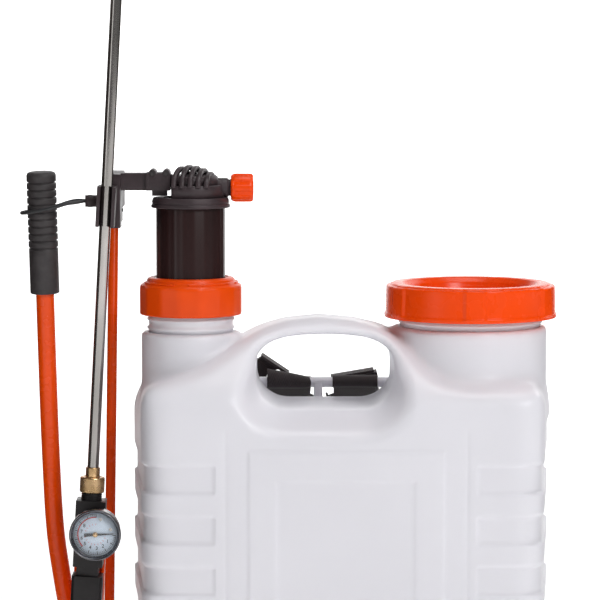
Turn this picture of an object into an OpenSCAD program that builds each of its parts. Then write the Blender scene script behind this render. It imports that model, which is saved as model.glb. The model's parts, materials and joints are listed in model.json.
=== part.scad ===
// Backpack sprayer: translucent tank on a black stand, side lever pump, spray gun with pressure gauge.
// Origin at the centre of the stand's underside, +Z up, the wearer's back on the +Y side.

/* [Tank] */
// Width of the tank along its rear face
tank_back_w = 380; // [360:1:390]
// Width of the tank along its front face
tank_front_w = 345; // [330:1:350]
// Depth of the tank
tank_d = 190; // [180:1:196]
// Height of the tank's shoulders
shoulder_z = 372; // [368:1:376]
// Height of the top of the carrying handle
arch_z = 426; // [422:1:428]
// Wall thickness of the tank
wall = 3; // [2.5:0.1:3.5]
// Depth of the side grooves
groove = 2.5; // [1:0.5:3]

/* [Stand] */
// Height of the stand under the tank
stand_h = 58; // [56:1:60]
// Wall thickness of the stand
stand_wall = 4; // [3:0.5:5]

/* [Pump] */
// Radius of the air chamber
chamber_r = 30.6; // [30.4:0.1:30.8]
// Throw of the crank, from the shaft to the pin
crank_r = 52.7; // [52:0.1:53]
// Angle of the crank above level when the lever is stowed
crank_up = 32; // [31.5:0.5:32]
// Diameter of the link rod
rod_d = 9; // [8:0.5:10]

/* [Lever] */
// Diameter of the lever's tube
lever_d = 16; // [15:0.5:17]
// Diameter of the shaft that the lever turns
shaft_d = 14; // [13.5:0.5:14]
// Length of the lever's grip
grip_l = 107; // [100:1:112]

/* [Filler] */
// Outer radius of the filler cap
cap_r = 76; // [75:0.5:77]
// Height of the filler cap's side
cap_h = 30; // [29:0.5:30.5]

/* [Spray gun] */
// Length of the lance's tube
lance_l = 560; // [450:10:600]
// Outer diameter of the lance's tube
lance_d = 10; // [9.8:0.1:10]
// Radius of the pressure gauge's bezel
gauge_r = 22.4; // [21:0.1:22.6]
// Length of the gun's handle
handle_l = 62; // [56:1:66]

/* [Straps] */
// Width of the webbing
strap_w = 40; // [38:1:40]
// Thickness of the shoulder pads
pad_t = 14; // [10:1:15]

/* [Hidden] */
$fn = 64;
eps = 0.05;
gap = 0.4;            // clearance between pieces that don't fit each other
run = 0.06;           // radial clearance of a running fit

// Tank
rib_pitch = 44;
rib_h = 20;
rib_top = 325;
rib_x = 108;
neck_x = -133.4;      // pump axis
neck_r = 43.6;
neck_z = 413;
neck_thread_r = 38;
neck_rim_z = 451;
fill_x = 113.5;       // filler axis
fill_r = 67.3;
fill_z = 418.5;
fill_thread_r = 63;
fill_bore = 59.6;
fill_rim_z = 446.3;
hole_x = -15.5;
hole_w = 118;
hole_bottom = 349;
hole_top = 409;
strap_xs = [-46, 11];
bar_y = 72;
bar_z = 356;
bar_r = 5;
bar_ends = [-77, 46];
post_x = -18.5;
post_foot_z = 334;
hole_d = 50;          // half the depth of the hand hole between its funnels
funnel = 22;          // how far each funnel opens out around the hole

// Pump
barrel_in = 32;
barrel_out = 34.2;
barrel_bottom = 128;
chamber_top = 523;
chamber_bottom = 214;
chamber_wall = 2.5;
flange_r = 35;
flange_h = 10;
dome_h = 27;
outlet_z = 540;
outlet_r = 7.5;
dome_x = neck_x;
nut_r = 45.3;
nut_z = 428;
nut_h = 28;

// Lever, crank and link rod
shaft_y = -10;
shaft_z = 44;
shaft_x0 = -237;
shaft_x1 = -52;
crank_x = -201.5;
crank_t = 7;
rod_y = 38.7;
rod_top = [-203.6, rod_y, 508];
rod_tilt = 0.95;
eye_x = -210;
pin_z = shaft_z + crank_r * sin(crank_up);
pin_y = shaft_y + crank_r * cos(crank_up);
pin_r = 4;
eye_slot = 4.4;
lever_path = [
    [-229, -10, 58], [-229, -10, 67], [-229.6, -7, 80], [-232, -1, 98], [-236, 2, 120],
    [-241, 4, 148], [-246, 4, 174], [-250.5, 4, 202], [-254, 3, 228], [-256, 1, 256],
    [-257.3, -2, 290], [-258.5, -6, 330], [-259.7, -9, 380], [-260.8, -12, 430],
    [-261.4, -15, 470], [-262.3, -18, 520], [-262.8, -19.4, 541]];
grip_r = 13;
grip_base = [-261.2, -13, 448];
grip_tip = [-263.3, -20.5, 555];

bump_xs = [-166.5, -154.5];
bump_z = 553.4;
// Tie that holds the grip against the bracket's lug
tie_path = [[-225.8, -32.6, 530], [-232, -35, 529], [-240, -37, 528], [-250, -38, 525], [-262, -36.5, 522],
    [-274, -31, 520], [-280, -22, 519], [-279, -11, 519], [-270, -3.5, 520], [-258, -3, 522],
    [-248, -8, 525], [-240, -16, 528], [-232, -25, 530], [-225.8, -29.4, 530]];

// Spray gun: its axis leans by gun_tilt and passes through gun_at
gun_at = [-217.6, -48, 296];
gun_tilt = 3.14;
valve_w = 25.6;
valve_d = 25;
valve_top = -26;
valve_bottom = -84;
trigger_s = -62;      // trigger's pivot, along the gun's axis
trigger_y = 19;
trigger_out = 8;      // angle of the trigger away from the handle at rest
splay = 15.6;         // spread of the shoulder straps
stem_s = -79;
gauge_x = 7;          // gauge's centre, across the gun
gauge_s = -50;
gauge_front = -46;
stem_head = 26.8;
handle_top = valve_bottom - 8;
handle_bottom = handle_top - handle_l;

white = [0.93, 0.93, 0.96];
orange = [0.92, 0.3, 0.08];
black = [0.16, 0.14, 0.15];
steel = [0.66, 0.66, 0.67];
brass = [0.72, 0.56, 0.36];
rubber = [0.1, 0.1, 0.1];

// ---------- helpers ----------

module along_x(x, y, z) { translate([x, y, z]) rotate([0, 90, 0]) children(); }
module along_y(x, y, z) { translate([x, y, z]) rotate([-90, 0, 0]) children(); }
module gun() { translate(gun_at) rotate([0, gun_tilt, 0]) children(); }
module ring(r1, r0, h) difference() {
    cylinder(r = r1, h = h);
    translate([0, 0, -1]) cylinder(r = r0, h = h + 2);
}
module side_profile(w) { rotate([90, 0, 90]) linear_extrude(w, center = true) children(); }
module front_profile(d) { rotate([90, 0, 0]) linear_extrude(d, center = true) children(); }

function unit(v) = v / norm(v);
function turn2(v) = [-v[1], v[0]];
// Side normal of a polyline at point i, in its plane
function side(p, i) = let (n = len(p) - 1)
    turn2(unit(p[min(i + 1, n)] - p[max(i - 1, 0)]));
module ribbon(p, t) {
    n = len(p);
    polygon(concat([for (i = [0:n - 1]) p[i] + side(p, i) * t / 2],
        [for (i = [n - 1:-1:0]) p[i] - side(p, i) * t / 2]));
}
// A round bar swept along points in space, with flat ends
function heading(p, i) = let (n = len(p) - 1) unit(p[min(i + 1, n)] - p[max(i - 1, 0)]);
module sweep(p, r, sides) {
    n = len(p);
    rings = [for (i = [0:n - 1]) let (h = heading(p, i), u = unit(cross([0, 1, 0], h)), v = cross(h, u))
        for (k = [0:sides - 1]) p[i] + r * (u * cos(360 * k / sides) + v * sin(360 * k / sides))];
    polyhedron(rings, concat([[for (k = [0:sides - 1]) k]],
        [for (i = [0:n - 2], k = [0:sides - 1]) let (a = i * sides + k, b = i * sides + (k + 1) % sides)
            [b, a, a + sides, b + sides]],
        [[for (k = [sides - 1:-1:0]) (n - 1) * sides + k]]));
}

// ---------- tank ----------

module tank_plan(inset) {
    a = tank_back_w / 2;
    b = tank_front_w / 2;
    offset(r = 26 - inset, $fn = 28) offset(delta = -26)
        polygon([[-b, -tank_d / 2], [b, -tank_d / 2], [a, tank_d / 2], [-a, tank_d / 2]]);
}
function arc(c, r, a0, a1, n) = [for (i = [0:n]) c + r * [cos(a0 + (a1 - a0) * i / n), sin(a0 + (a1 - a0) * i / n)]];
// Front outline: shoulders and the carrying arch
module tank_front(inset) {
    h = tank_back_w / 2;
    offset(delta = -inset) offset(r = 8, $fn = 20) offset(delta = -8)
        polygon(concat([[-h, stand_h + eps]], arc([-h + 24, shoulder_z - 24], 24, 180, 95, 5),
            [[-142, shoulder_z + 7], [-115, 391], [-92, 405]], arc([-19, 262], arch_z - 262, 112, 70, 8),
            [[48, 398], [66, shoulder_z + 6], [80, shoulder_z]],
            arc([h - 24, shoulder_z - 24], 24, 90, 0, 5), [[h, stand_h + eps]]));
}
// Side outline: full depth up to the shoulder, then drawn in to the arch
module tank_side(inset) {
    half = [[tank_d / 2, shoulder_z - 30], [91, shoulder_z - 14], [80, shoulder_z + 2], [64, 388], [51, 402],
        [40, 414], [28, arch_z]];
    offset(delta = -inset) offset(r = 10, $fn = 20) offset(delta = -10)
        polygon(concat([[tank_d / 2, stand_h + eps]], half,
            [for (i = [len(half) - 1:-1:0]) [-half[i][0], half[i][1]]], [[-tank_d / 2, stand_h + eps]]));
}
module tank_hull(inset) {
    intersection() {
        translate([0, 0, stand_h + inset]) linear_extrude(400) tank_plan(inset);
        front_profile(tank_d + 2) tank_front(inset);
        side_profile(tank_back_w + 2) tank_side(inset);
    }
}
// Hand hole: flat below, round at the sides, with a flatter arc on top
module hole_outline(grow) {
    offset(delta = grow) intersection() {
        translate([hole_x, hole_bottom + 42]) scale([1, 0.94]) circle(r = hole_w / 2, $fn = 32);
        translate([hole_x - hole_w / 2, hole_bottom]) square([hole_w, hole_top - hole_bottom]);
        translate([hole_x, 262]) circle(r = hole_top - 262, $fn = 72);
    }
}
// Funnel from the hole's edge out to the front (s = -1) or rear (s = 1) face
module hand_funnel(s, grow) {
    depth = tank_d / 2 + 1 - hole_d + grow;
    w = hole_w / 2 + grow;
    h = (hole_top - hole_bottom) / 2 + grow;
    translate([hole_x, s * (hole_d - grow), (hole_top + hole_bottom) / 2]) rotate([-90 * s, 0, 0])
        linear_extrude(depth, scale = 1 + funnel / w) offset(r = 24, $fn = 24) offset(delta = -24)
            square([2 * w - 1, 2 * h - 1], center = true);
}
module side_grooves() {
    for (i = [0:5], s = [-1, 1])
        translate([0, 0, rib_top - rib_h - rib_pitch * i - (rib_pitch - rib_h)])
            linear_extrude(rib_pitch - rib_h) difference() {
                translate([s > 0 ? rib_x : -rib_x - 104, -tank_d]) square([104, 2 * tank_d]);
                tank_plan(groove);
            }
}
module tank_shell() color(white) {
    difference() {
        union() {
            tank_hull(0);
            translate([neck_x, 0, 330]) cylinder(r = neck_r, h = neck_z - 330);
            translate([neck_x, 0, 330]) cylinder(r = neck_thread_r - 0.7, h = neck_rim_z - 330);
            translate([fill_x, 0, 330]) cylinder(r = fill_r, h = fill_z - 330, $fn = 96);
            translate([fill_x, 0, 330]) cylinder(r = fill_thread_r - 0.7, h = fill_rim_z - 330, $fn = 96);
            for (z = [neck_z + 3, neck_z + 10]) translate([neck_x, 0, z]) cylinder(r = neck_thread_r, h = 2);
            translate([fill_x, 0, fill_z + 4]) cylinder(r = fill_thread_r, h = 2, $fn = 96);
        }
        side_grooves();
        difference() {
            tank_hull(wall);
            front_profile(tank_d) hole_outline(wall);
            for (s = [-1, 1]) hand_funnel(s, wall);
            translate([neck_x, 0, 330]) ring(60, neck_r, 200);
        }
        front_profile(tank_d + 4) hole_outline(0);
        for (s = [-1, 1]) hand_funnel(s, 0);
        translate([neck_x, 0, 320]) cylinder(r = barrel_out + gap, h = 200);
        translate([neck_x, 0, 320]) cylinder(r = neck_r - wall, h = neck_z - wall - 320);
        translate([fill_x, 0, 320]) cylinder(r = fill_bore, h = 200, $fn = 96);
    }
    along_x(bar_ends[0], bar_y, bar_z) cylinder(r = bar_r, h = bar_ends[1] - bar_ends[0]);
    translate([post_x - 4, bar_y - bar_r, post_foot_z]) cube([8, 2 * bar_r, bar_z - post_foot_z]);
}

// ---------- stand ----------

module base_stand() color(black) {
    difference() {
        translate([0, 0, 0]) linear_extrude(stand_h) tank_plan(-2);
        translate([0, 0, -1]) linear_extrude(stand_h - stand_wall + 1) tank_plan(stand_wall - 2);
        for (s = [-1, 1]) along_y(s * 95, -120, 0) cylinder(r = 30, h = 60);
        along_x(-200, shaft_y, shaft_z) cylinder(r = shaft_d / 2 + 3, h = 30);
        for (x = [-150, 150], y = [-60, 60]) translate([x, y, stand_h - stand_wall - 1]) cylinder(r = 2.6, h = 10);
    }
    translate([-3, -tank_d / 2, 0]) cube([6, tank_d, stand_h - stand_wall + eps]);
    difference() {
        translate([-64, -50, 12]) cube([8, 80, stand_h - stand_wall - 12 + eps]);
        along_x(-70, shaft_y, shaft_z) cylinder(r = shaft_d / 2 + 3, h = 20);
    }
}
module base_screws() color(steel)
    for (x = [-150, 150], y = [-60, 60]) translate([x, y, stand_h - stand_wall - 3]) {
        cylinder(r = 5, h = 3);
        cylinder(r = 2.5, h = 3 + stand_wall);
    }
module shaft_bushes() color(steel)
    for (x = [-185, -64]) along_x(x, shaft_y, shaft_z) ring(shaft_d / 2 + 3, shaft_d / 2 + run, 8);

// ---------- pump, fixed pieces ----------

module guide_nut() color(orange) translate([neck_x, 0, nut_z]) {
    difference() {
        union() {
            cylinder(r = nut_r, h = nut_h - 6);
            translate([0, 0, nut_h - 6]) cylinder(r1 = nut_r, r2 = nut_r - 2, h = 3);
            translate([0, 0, nut_h - 3]) cylinder(r1 = nut_r - 2, r2 = 37, h = 7);
        }
        translate([0, 0, -1]) cylinder(r = neck_thread_r + gap, h = neck_rim_z + 4.1 - nut_z + 1);
        cylinder(r = chamber_r + gap, h = nut_h + 10);
    }
}
module pump_barrel() color(white) translate([neck_x, 0, 0]) difference() {
    union() {
        translate([0, 0, barrel_bottom]) cylinder(r = barrel_out, h = neck_rim_z + 4 - barrel_bottom);
        translate([0, 0, neck_rim_z + 1.5]) cylinder(r = neck_thread_r, h = 2.5);
    }
    translate([0, 0, barrel_bottom + 8]) cylinder(r = barrel_in, h = 400);
    translate([0, 0, barrel_bottom - 1]) cylinder(r = 9, h = 20);
}
module barrel_gasket() color(rubber)
    translate([neck_x, 0, neck_rim_z]) ring(neck_thread_r - 0.5, barrel_out + 0.05, 1.5);
module inlet_valve() color(rubber) translate([neck_x, 0, barrel_bottom + 8]) {
    ring(16, 11, 2);
    translate([0, 0, 2]) cylinder(r = 14, h = 1.5);
}
module suction_strainer() color(orange) translate([neck_x, 0, barrel_bottom - 34]) difference() {
    cylinder(r = 14, h = 34);
    translate([0, 0, 2]) cylinder(r = 12, h = 40);
    for (i = [0:5], z = [8, 20]) rotate(i * 60) translate([8, -3, z]) cube([10, 6, 8]);
}
module strainer_basket() color([0.85, 0.85, 0.87]) translate([fill_x, 0, 0]) difference() {
    union() {
        translate([0, 0, fill_rim_z]) cylinder(r = fill_thread_r - 1, h = 1.5, $fn = 96);
        translate([0, 0, 330]) cylinder(r = 58.9, h = fill_rim_z + 1 - 330, $fn = 96);
    }
    translate([0, 0, 332]) cylinder(r = 57.2, h = 200, $fn = 96);
    for (i = [0:11], z = [340, 362]) rotate(i * 30) translate([50, -8, z]) cube([20, 16, 14]);
}

// ---------- straps ----------

bar_route = [[bar_y - 12, bar_z + 1], [bar_y - 8, bar_z + 7], [bar_y + 2, bar_z + 9], [bar_y + 16, bar_z + 6],
    [102, bar_z - 9], [112, 339]];
strap_route = [[110, 341], [122, 330], [140, 306], [150, 280], [153, 250], [150, 222]];
lower_route = [[146, 184], [140, 166], [130, 136], [118, 100], [109, 70], [104, 48]];
pad_route = [[119, 346], [140, 328], [156, 303], [164, 275], [165, 248], [160, 220]];
module band(route, w, t) rotate([90, 0, 90]) linear_extrude(w, center = true) ribbon(route, t);
// The straps spread outwards below the point where they leave the bar
module splayed(x) translate([x, 0, 346]) rotate([0, x < -18 ? splay : -splay, 0]) translate([0, 0, -346]) children();
module strap(x) color(black) {
    translate([x, 0, 0]) band(bar_route, strap_w, 2.4);
    splayed(x) {
        band(strap_route, strap_w, 2.4);
        band(lower_route, 25, 2);
    }
}
module pad(x) color([0.2, 0.19, 0.2]) splayed(x) band(pad_route, strap_w + 12, pad_t);
module buckle(x) color(black) splayed(x) translate([0, 149, 202]) rotate([6, 0, 0]) difference() {
    cube([strap_w + 8, 6, 34], center = true);
    for (z = [-10, 6]) translate([0, 0, z]) cube([strap_w - 6, 8, 5], center = true);
}
module strap_left() strap(strap_xs[0]);
module strap_right() strap(strap_xs[1]);
module pad_left() pad(strap_xs[0]);
module pad_right() pad(strap_xs[1]);
module buckle_left() buckle(strap_xs[0]);
module buckle_right() buckle(strap_xs[1]);
module strap_hooks() color(black)
    for (x = [-128, 91]) translate([x - 17, tank_d / 2 + 2, 28]) difference() {
        cube([34, 14, 26]);
        translate([3.5, 5, 10]) cube([27, 20, 9]);
    }

// ---------- lever ----------

module lever_shaft() color(steel) along_x(shaft_x0, shaft_y, shaft_z) cylinder(r = shaft_d / 2, h = shaft_x1 - shaft_x0);
module lever_hub() color(orange) difference() {
    union() {
        along_x(-237, shaft_y, shaft_z) cylinder(r = 13, h = 16);
        translate([-229, shaft_y, shaft_z + 6]) cylinder(r = 9.5, h = 16);
    }
    along_x(-240, shaft_y, shaft_z) cylinder(r = shaft_d / 2, h = 30);
    translate([-229, shaft_y, shaft_z + 14]) cylinder(r = lever_d / 2 + 0.1, h = 20);
}
module lever_tube() color(orange) difference() {
    n = len(lever_path) - 1;
    sweep(lever_path, lever_d / 2, 16);
    sweep(concat([lever_path[0] - [0, 0, 1]], lever_path, [lever_path[n] + [0, 0, 1]]), lever_d / 2 - 1.8, 8);
}
module lever_grip() color(rubber) {
    v = grip_tip - grip_base;
    translate(grip_base) rotate([-asin(v[1] / norm(v)), atan2(v[0], v[2]), 0]) difference() {
        union() {
            cylinder(r = grip_r, h = grip_l - 6);
            translate([0, 0, grip_l - 6]) cylinder(r1 = grip_r, r2 = 10, h = 6);
        }
        translate([0, 0, -1]) cylinder(r = lever_d / 2 + 1, h = 96);
    }
}
module crank_arm() color(orange) difference() {
    translate([crank_x, shaft_y, shaft_z]) rotate([crank_up, 0, 0]) union() {
        rotate([0, 90, 0]) cylinder(r = 13, h = crank_t, center = true);
        translate([-crank_t / 2, 0, -8]) cube([crank_t, crank_r, 16]);
        translate([0, crank_r, 0]) rotate([0, 90, 0]) cylinder(r = 8, h = crank_t, center = true);
    }
    along_x(crank_x - 20, shaft_y, shaft_z) cylinder(r = shaft_d / 2, h = 40);
    along_x(crank_x - 20, pin_y, pin_z) cylinder(r = pin_r, h = 40);
}
module crank_pin() color(steel) along_x(eye_x - 7, pin_y, pin_z) {
    cylinder(r = pin_r, h = crank_x + crank_t / 2 - eye_x + 7);
    cylinder(r = pin_r + 1.6, h = 2);
}
module shaft_clip() color(steel) along_x(shaft_x1 - 3.2, shaft_y, shaft_z) ring(9.6, shaft_d / 2, 1.4);

// ---------- pump, moving pieces ----------

module air_chamber() color([0.2, 0.12, 0.12]) translate([neck_x, 0, 0]) difference() {
    translate([0, 0, chamber_bottom]) cylinder(r = chamber_r, h = chamber_top - chamber_bottom);
    translate([0, 0, chamber_bottom + 6]) cylinder(r = chamber_r - chamber_wall, h = 400);
    translate([0, 0, chamber_bottom - 1]) cylinder(r = 7, h = 10);
    translate([0, 0, chamber_bottom + 2]) ring(chamber_r + 2, chamber_r - 2.5, 4);
}
module piston_seal() color(rubber)
    translate([neck_x, 0, chamber_bottom + 2]) ring(barrel_in - run, chamber_r - 2.5, 4);
module chamber_cap() color(black) {
    translate([dome_x, 0, chamber_top]) difference() {
        union() {
            cylinder(r = flange_r, h = flange_h);
            intersection() {
                translate([0, 0, flange_h + dome_h - 40]) sphere(r = 40, $fn = 64);
                translate([-16, -40, flange_h]) cube([60, 80, 40]);
                cylinder(r = 34, h = 60);
            }
        }
        translate([0, 0, -1]) cylinder(r = 24, h = flange_h + 4);
        for (i = [-2:2]) translate([-6 + i * 8.5, 8, flange_h + 8]) cube([3, 30, 30]);
        for (i = [-2:2]) translate([-6 + i * 8.5, -38, flange_h + 8]) cube([3, 30, 30]);
        translate([10, 0, outlet_z - chamber_top]) rotate([0, 90, 0]) cylinder(r = 3, h = 40);
        translate([10, 0, 5]) cylinder(r = 3.6, h = 10.5);
    }
    difference() {
        along_x(-112, 0, outlet_z) cylinder(r = outlet_r, h = 13.6);
        along_x(-113, 0, outlet_z) cylinder(r = 3, h = 20);
    }
    difference() {
        along_x(-101, 0, outlet_z) cylinder(r = 4.6, h = 22.6);
        along_x(-102, 0, outlet_z) cylinder(r = 3, h = 26);
    }
}
module cap_oring() color(rubber) translate([neck_x, 0, chamber_top - 2.2])
    ring(chamber_r - chamber_wall, 25, 2.2);
module dip_tube() color(white) translate([neck_x + 10, 0, chamber_bottom + 24])
    ring(3.4, 2.2, chamber_top + 13 - chamber_bottom - 24);
module outlet_ball() color(steel) translate([neck_x, 0, chamber_bottom + 12]) sphere(r = 9);
// Arm, block and foot on the chamber's flange, and the plate that carries the rod and the clip
module pump_bracket() color(black) difference() {
    union() {
        translate([-203, -9, 538]) cube([36, 18, 15]);
        translate([-172, -13, 538]) cube([21, 26, 15.5]);
        translate([-152, -8, 541]) cube([2.4, 16, 11]);
        for (x = bump_xs) along_y(x, -13, bump_z) cylinder(r = 3.2, h = 26);
        translate([-167, -8, chamber_top + flange_h + 0.1]) cube([13, 16, 6]);
        translate([-206, -28, 506]) cube([12, 24, 47]);
        translate([-206, -9, 522]) cube([12, 58, 31]);
        translate([-211, rod_y - 10, 508]) cube([15, 20, 45]);
        gun() translate([-8, -9, 213]) cube([16, 31, 35]);
        translate([-224, -34, 525]) cube([19, 6, 10]);
    }
    translate(rod_top - [0.4, 0, 24]) rotate([0, rod_tilt, 0]) cylinder(r = rod_d / 2, h = 45);
    gun() translate([0, 0, 180]) cylinder(r = lance_d / 2 + 0.15, h = 100);
    gun() translate([-lance_d / 2 - 0.15, -30, 180]) cube([lance_d + 0.3, 30, 100]);
    for (x = bump_xs) along_y(x, -14, bump_z) cylinder(r = 1.4, h = 28);
    along_x(-215, rod_y, 518) cylinder(r = 1.6, h = 30);
}
module bracket_screws() color(steel) {
    for (x = bump_xs) along_y(x, -14.5, bump_z) {
        cylinder(r = 2.4, h = 1.5);
        cylinder(r = 1.4, h = 27.5);
    }
    along_x(-213, rod_y, 518) {
        cylinder(r = 3, h = 2);
        cylinder(r = 1.6, h = 18);
    }
}
// Straight rod with a slotted eye that the crank pin works in
module link_rod() color(orange) {
    difference() {
        translate(rod_top) rotate([180, rod_tilt, 0]) translate([0, 0, -20])
            cylinder(r = rod_d / 2, h = rod_top[2] - pin_z + 6);
        along_x(-220, rod_y, 518) cylinder(r = 1.6, h = 30);
    }
    difference() {
        translate([eye_x - 4.5, rod_y - 13, pin_z - 8]) cube([8.5, 26, 28]);
        hull() for (s = [-1, 1])
            along_x(eye_x - 10, rod_y + s * eye_slot, pin_z) cylinder(r = pin_r + 0.85, h = 20, $fn = 48);
    }
}
module tie_loop() color(rubber) sweep(tie_path, 1.4, 8);

// ---------- hose outlet ----------

module hose_washer() color(rubber) along_x(-98.3, 0, outlet_z) ring(7.9, 4.7, 1.6);
module hose_nut() color(orange) along_x(-98, 0, outlet_z) difference() {
    union() {
        cylinder(r1 = 10.5, r2 = 12.5, h = 3);
        translate([0, 0, 3]) cylinder(r = 12.5, h = 17);
    }
    translate([0, 0, -1]) cylinder(r = 8.4, h = 15);
    cylinder(r = 6.4, h = 30);
}

// ---------- spray gun ----------

module gun_valve_body() color(black) gun() difference() {
    union() {
        translate([0, 0, valve_top]) cylinder(r = 8.6, h = 6.3);
        translate([-valve_w / 2, -valve_d / 2, valve_bottom]) cube([valve_w, valve_d, valve_top - valve_bottom]);
        translate([-9.5, -11, valve_bottom - 8]) cube([19, 22, 8.2]);
        translate([gauge_x, -valve_d / 2 - 6, gauge_s]) rotate([-90, 0, 0]) cylinder(r = 7, h = 8);
        for (s = [-1, 1]) translate([s * 7.5 - 2.5, valve_d / 2 - 1, trigger_s - 7])
            cube([5, trigger_y + 5 - valve_d / 2 + 1, 14]);
    }
    translate([0, 0, valve_bottom - 20]) cylinder(r = 3.5, h = 100);
    translate([0, 0, stem_s]) rotate([-90, 0, 0]) cylinder(r = 3 + run, h = 30);
    translate([-30, trigger_y, trigger_s]) rotate([0, 90, 0]) cylinder(r = 2.5, h = 60);
}
module gun_handle() color(black) gun() difference() {
    translate([0, 0, handle_bottom]) linear_extrude(handle_l) offset(delta = 4, chamfer = true)
        translate([-9.3, -10]) square([18.6, 18]);
    translate([0, 0, handle_bottom - 1]) cylinder(r = 7, h = handle_l + 2);
}
module gauge_case() color([0.25, 0.25, 0.27]) gun() translate([gauge_x, 0, gauge_s]) rotate([90, 0, 0]) {
    difference() {
        translate([0, 0, valve_d / 2 + 6]) cylinder(r = gauge_r - 1.6, h = -gauge_front - valve_d / 2 - 8);
        translate([0, 0, -gauge_front - 8]) cylinder(r = gauge_r - 3.4, h = 20);
    }
}
module gauge_bezel() color([0.3, 0.3, 0.32]) gun() translate([gauge_x, gauge_front, gauge_s]) rotate([-90, 0, 0]) {
    difference() {
        cylinder(r = gauge_r, h = 7);
        translate([0, 0, -1]) cylinder(r = gauge_r - 3.4, h = 10);
        translate([0, 0, 2]) cylinder(r = gauge_r - 1.6, h = 10);
    }
}
module gauge_dial() color([0.78, 0.82, 0.88]) gun() translate([gauge_x, gauge_front + 6.4, gauge_s]) rotate([-90, 0, 0])
    cylinder(r = gauge_r - 3.5, h = 1.2);
module gauge_screws() color(steel) gun()
    for (p = [[4, 13.4], [13, 5]]) translate([gauge_x + p[0], gauge_front + 6.4, gauge_s + p[1]]) rotate([90, 0, 0]) cylinder(r = 1.4, h = 0.8);
module gauge_pointer() color(black) gun() translate([gauge_x, gauge_front + 5.4, gauge_s]) rotate([90, 0, 0]) {
    cylinder(r = 2.2, h = 1.6);
    rotate(-6) translate([-7, -0.8, 0]) cube([23, 1.6, 0.8]);
}
module gauge_lens() color([0.8, 0.85, 0.9, 0.3]) gun() translate([gauge_x, gauge_front + 1, gauge_s])
    rotate([-90, 0, 0]) cylinder(r = gauge_r - 3.5, h = 1.5);
module gun_trigger() color(orange) gun() translate([0, trigger_y, trigger_s]) rotate([trigger_out, 0, 0]) difference() {
    union() {
        for (s = [-1, 1]) translate([s * 12.2 - 1.2, 0, 0]) {
            rotate([0, 90, 0]) cylinder(r = 5, h = 2.4);
            translate([0, -5, -80]) cube([2.4, 13.5, 80]);
            translate([0, 0, -1]) cube([2.4, 8.5, 6]);
        }
        translate([-13.4, 6.5, -80]) cube([26.8, 2, 85]);
    }
    translate([-20, 0, 0]) rotate([0, 90, 0]) cylinder(r = 2.5 + run, h = 40);
}
module trigger_pin() color(steel) gun() translate([-14.4, trigger_y, trigger_s]) rotate([0, 90, 0]) cylinder(r = 2.5, h = 28.8);
module valve_stem() color(brass) gun() translate([0, 4, stem_s]) rotate([-90, 0, 0]) {
    cylinder(r = 3, h = stem_head - 4);
    translate([0, 0, stem_head - 7]) cylinder(r = 6, h = 3);
}
module valve_spring() color(steel) gun() translate([0, valve_d / 2, stem_s]) rotate([-90, 0, 0])
    ring(5.2, 3.6, stem_head - 3 - valve_d / 2);
module hose_tail() color(brass) gun() translate([0, 0, handle_bottom - 30]) difference() {
    union() {
        cylinder(r = 4.6, h = 22);
        translate([0, 0, 12]) cylinder(r = 10, h = 18);
    }
    translate([0, 0, -1]) cylinder(r = 3, h = 40);
}
module gun_hose_nut() color(orange) gun() translate([0, 0, handle_bottom - 26]) difference() {
    cylinder(r = 12.5, h = 20);
    translate([0, 0, 6]) cylinder(r = 10.4, h = 20);
    translate([0, 0, -1]) cylinder(r = 6.4, h = 20);
}
module gun_filter() color(white) gun() translate([0, 0, handle_bottom + 0.2]) ring(6.6, 5.4, 50);

// ---------- lance ----------

module lance_tube() color(steel) gun() translate([0, 0, -16]) ring(lance_d / 2, 3.5, lance_l + 16);
module lance_collar() color(brass) gun() translate([0, 0, -19]) ring(6.2, lance_d / 2, 21.7);
module lance_nut() color(brass) gun() translate([0, 0, -19.6]) difference() {
    cylinder(r = 10.8, h = 13.8);
    translate([0, 0, -1]) cylinder(r = 6.2 + run, h = 20);
}
module nozzle_body() color(black) gun() translate([0, 0, lance_l - 14]) difference() {
    union() {
        cylinder(r = 8, h = 14);
        translate([0, 0, 14]) cylinder(r = 6, h = 16);
    }
    translate([0, 0, -1]) cylinder(r = lance_d / 2, h = 15);
    cylinder(r = 2, h = 60);
}
module nozzle_cap() color(orange) gun() translate([0, 0, lance_l + 4]) difference() {
    union() {
        cylinder(r = 10, h = 14);
        translate([0, 0, 14]) cylinder(r1 = 10, r2 = 6, h = 6);
    }
    translate([0, 0, -1]) cylinder(r = 6 + run, h = 14);
    cylinder(r = 0.8, h = 60, $fn = 16);
}

// ---------- filler cap ----------

module cap_gasket() color(rubber) translate([fill_x, 0, fill_rim_z + 1.6]) ring(fill_thread_r - 1, 56, 1.8);
module filler_cap() color(orange) translate([fill_x, 0, fill_rim_z + 10 - cap_h]) difference() {
    union() {
        cylinder(r = cap_r, h = 3.5, $fn = 96);
        cylinder(r = cap_r - 1.2, h = cap_h - 4, $fn = 96);
        translate([0, 0, cap_h - 4]) cylinder(r = cap_r - 2.6, h = 4, $fn = 96);
    }
    translate([0, 0, -1]) ring(fill_thread_r + gap, 54, cap_h - 5.5);
    translate([0, 0, -1]) cylinder(r = 54.5, h = cap_h - 18, $fn = 96);
    translate([0, 0, cap_h - 14]) cylinder(r = 51.5, h = 20, $fn = 96);
    translate([0, 0, cap_h - 5]) cylinder(r1 = 51.5, r2 = 60, h = 5 + eps, $fn = 96);
    cylinder(r = 3.2, h = cap_h);
}
module cap_vent() color(rubber) translate([fill_x, 0, fill_rim_z + 10 - cap_h + 8]) {
    cylinder(r = 3.1, h = 9);
    cylinder(r = 7, h = 1.8);
}

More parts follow.
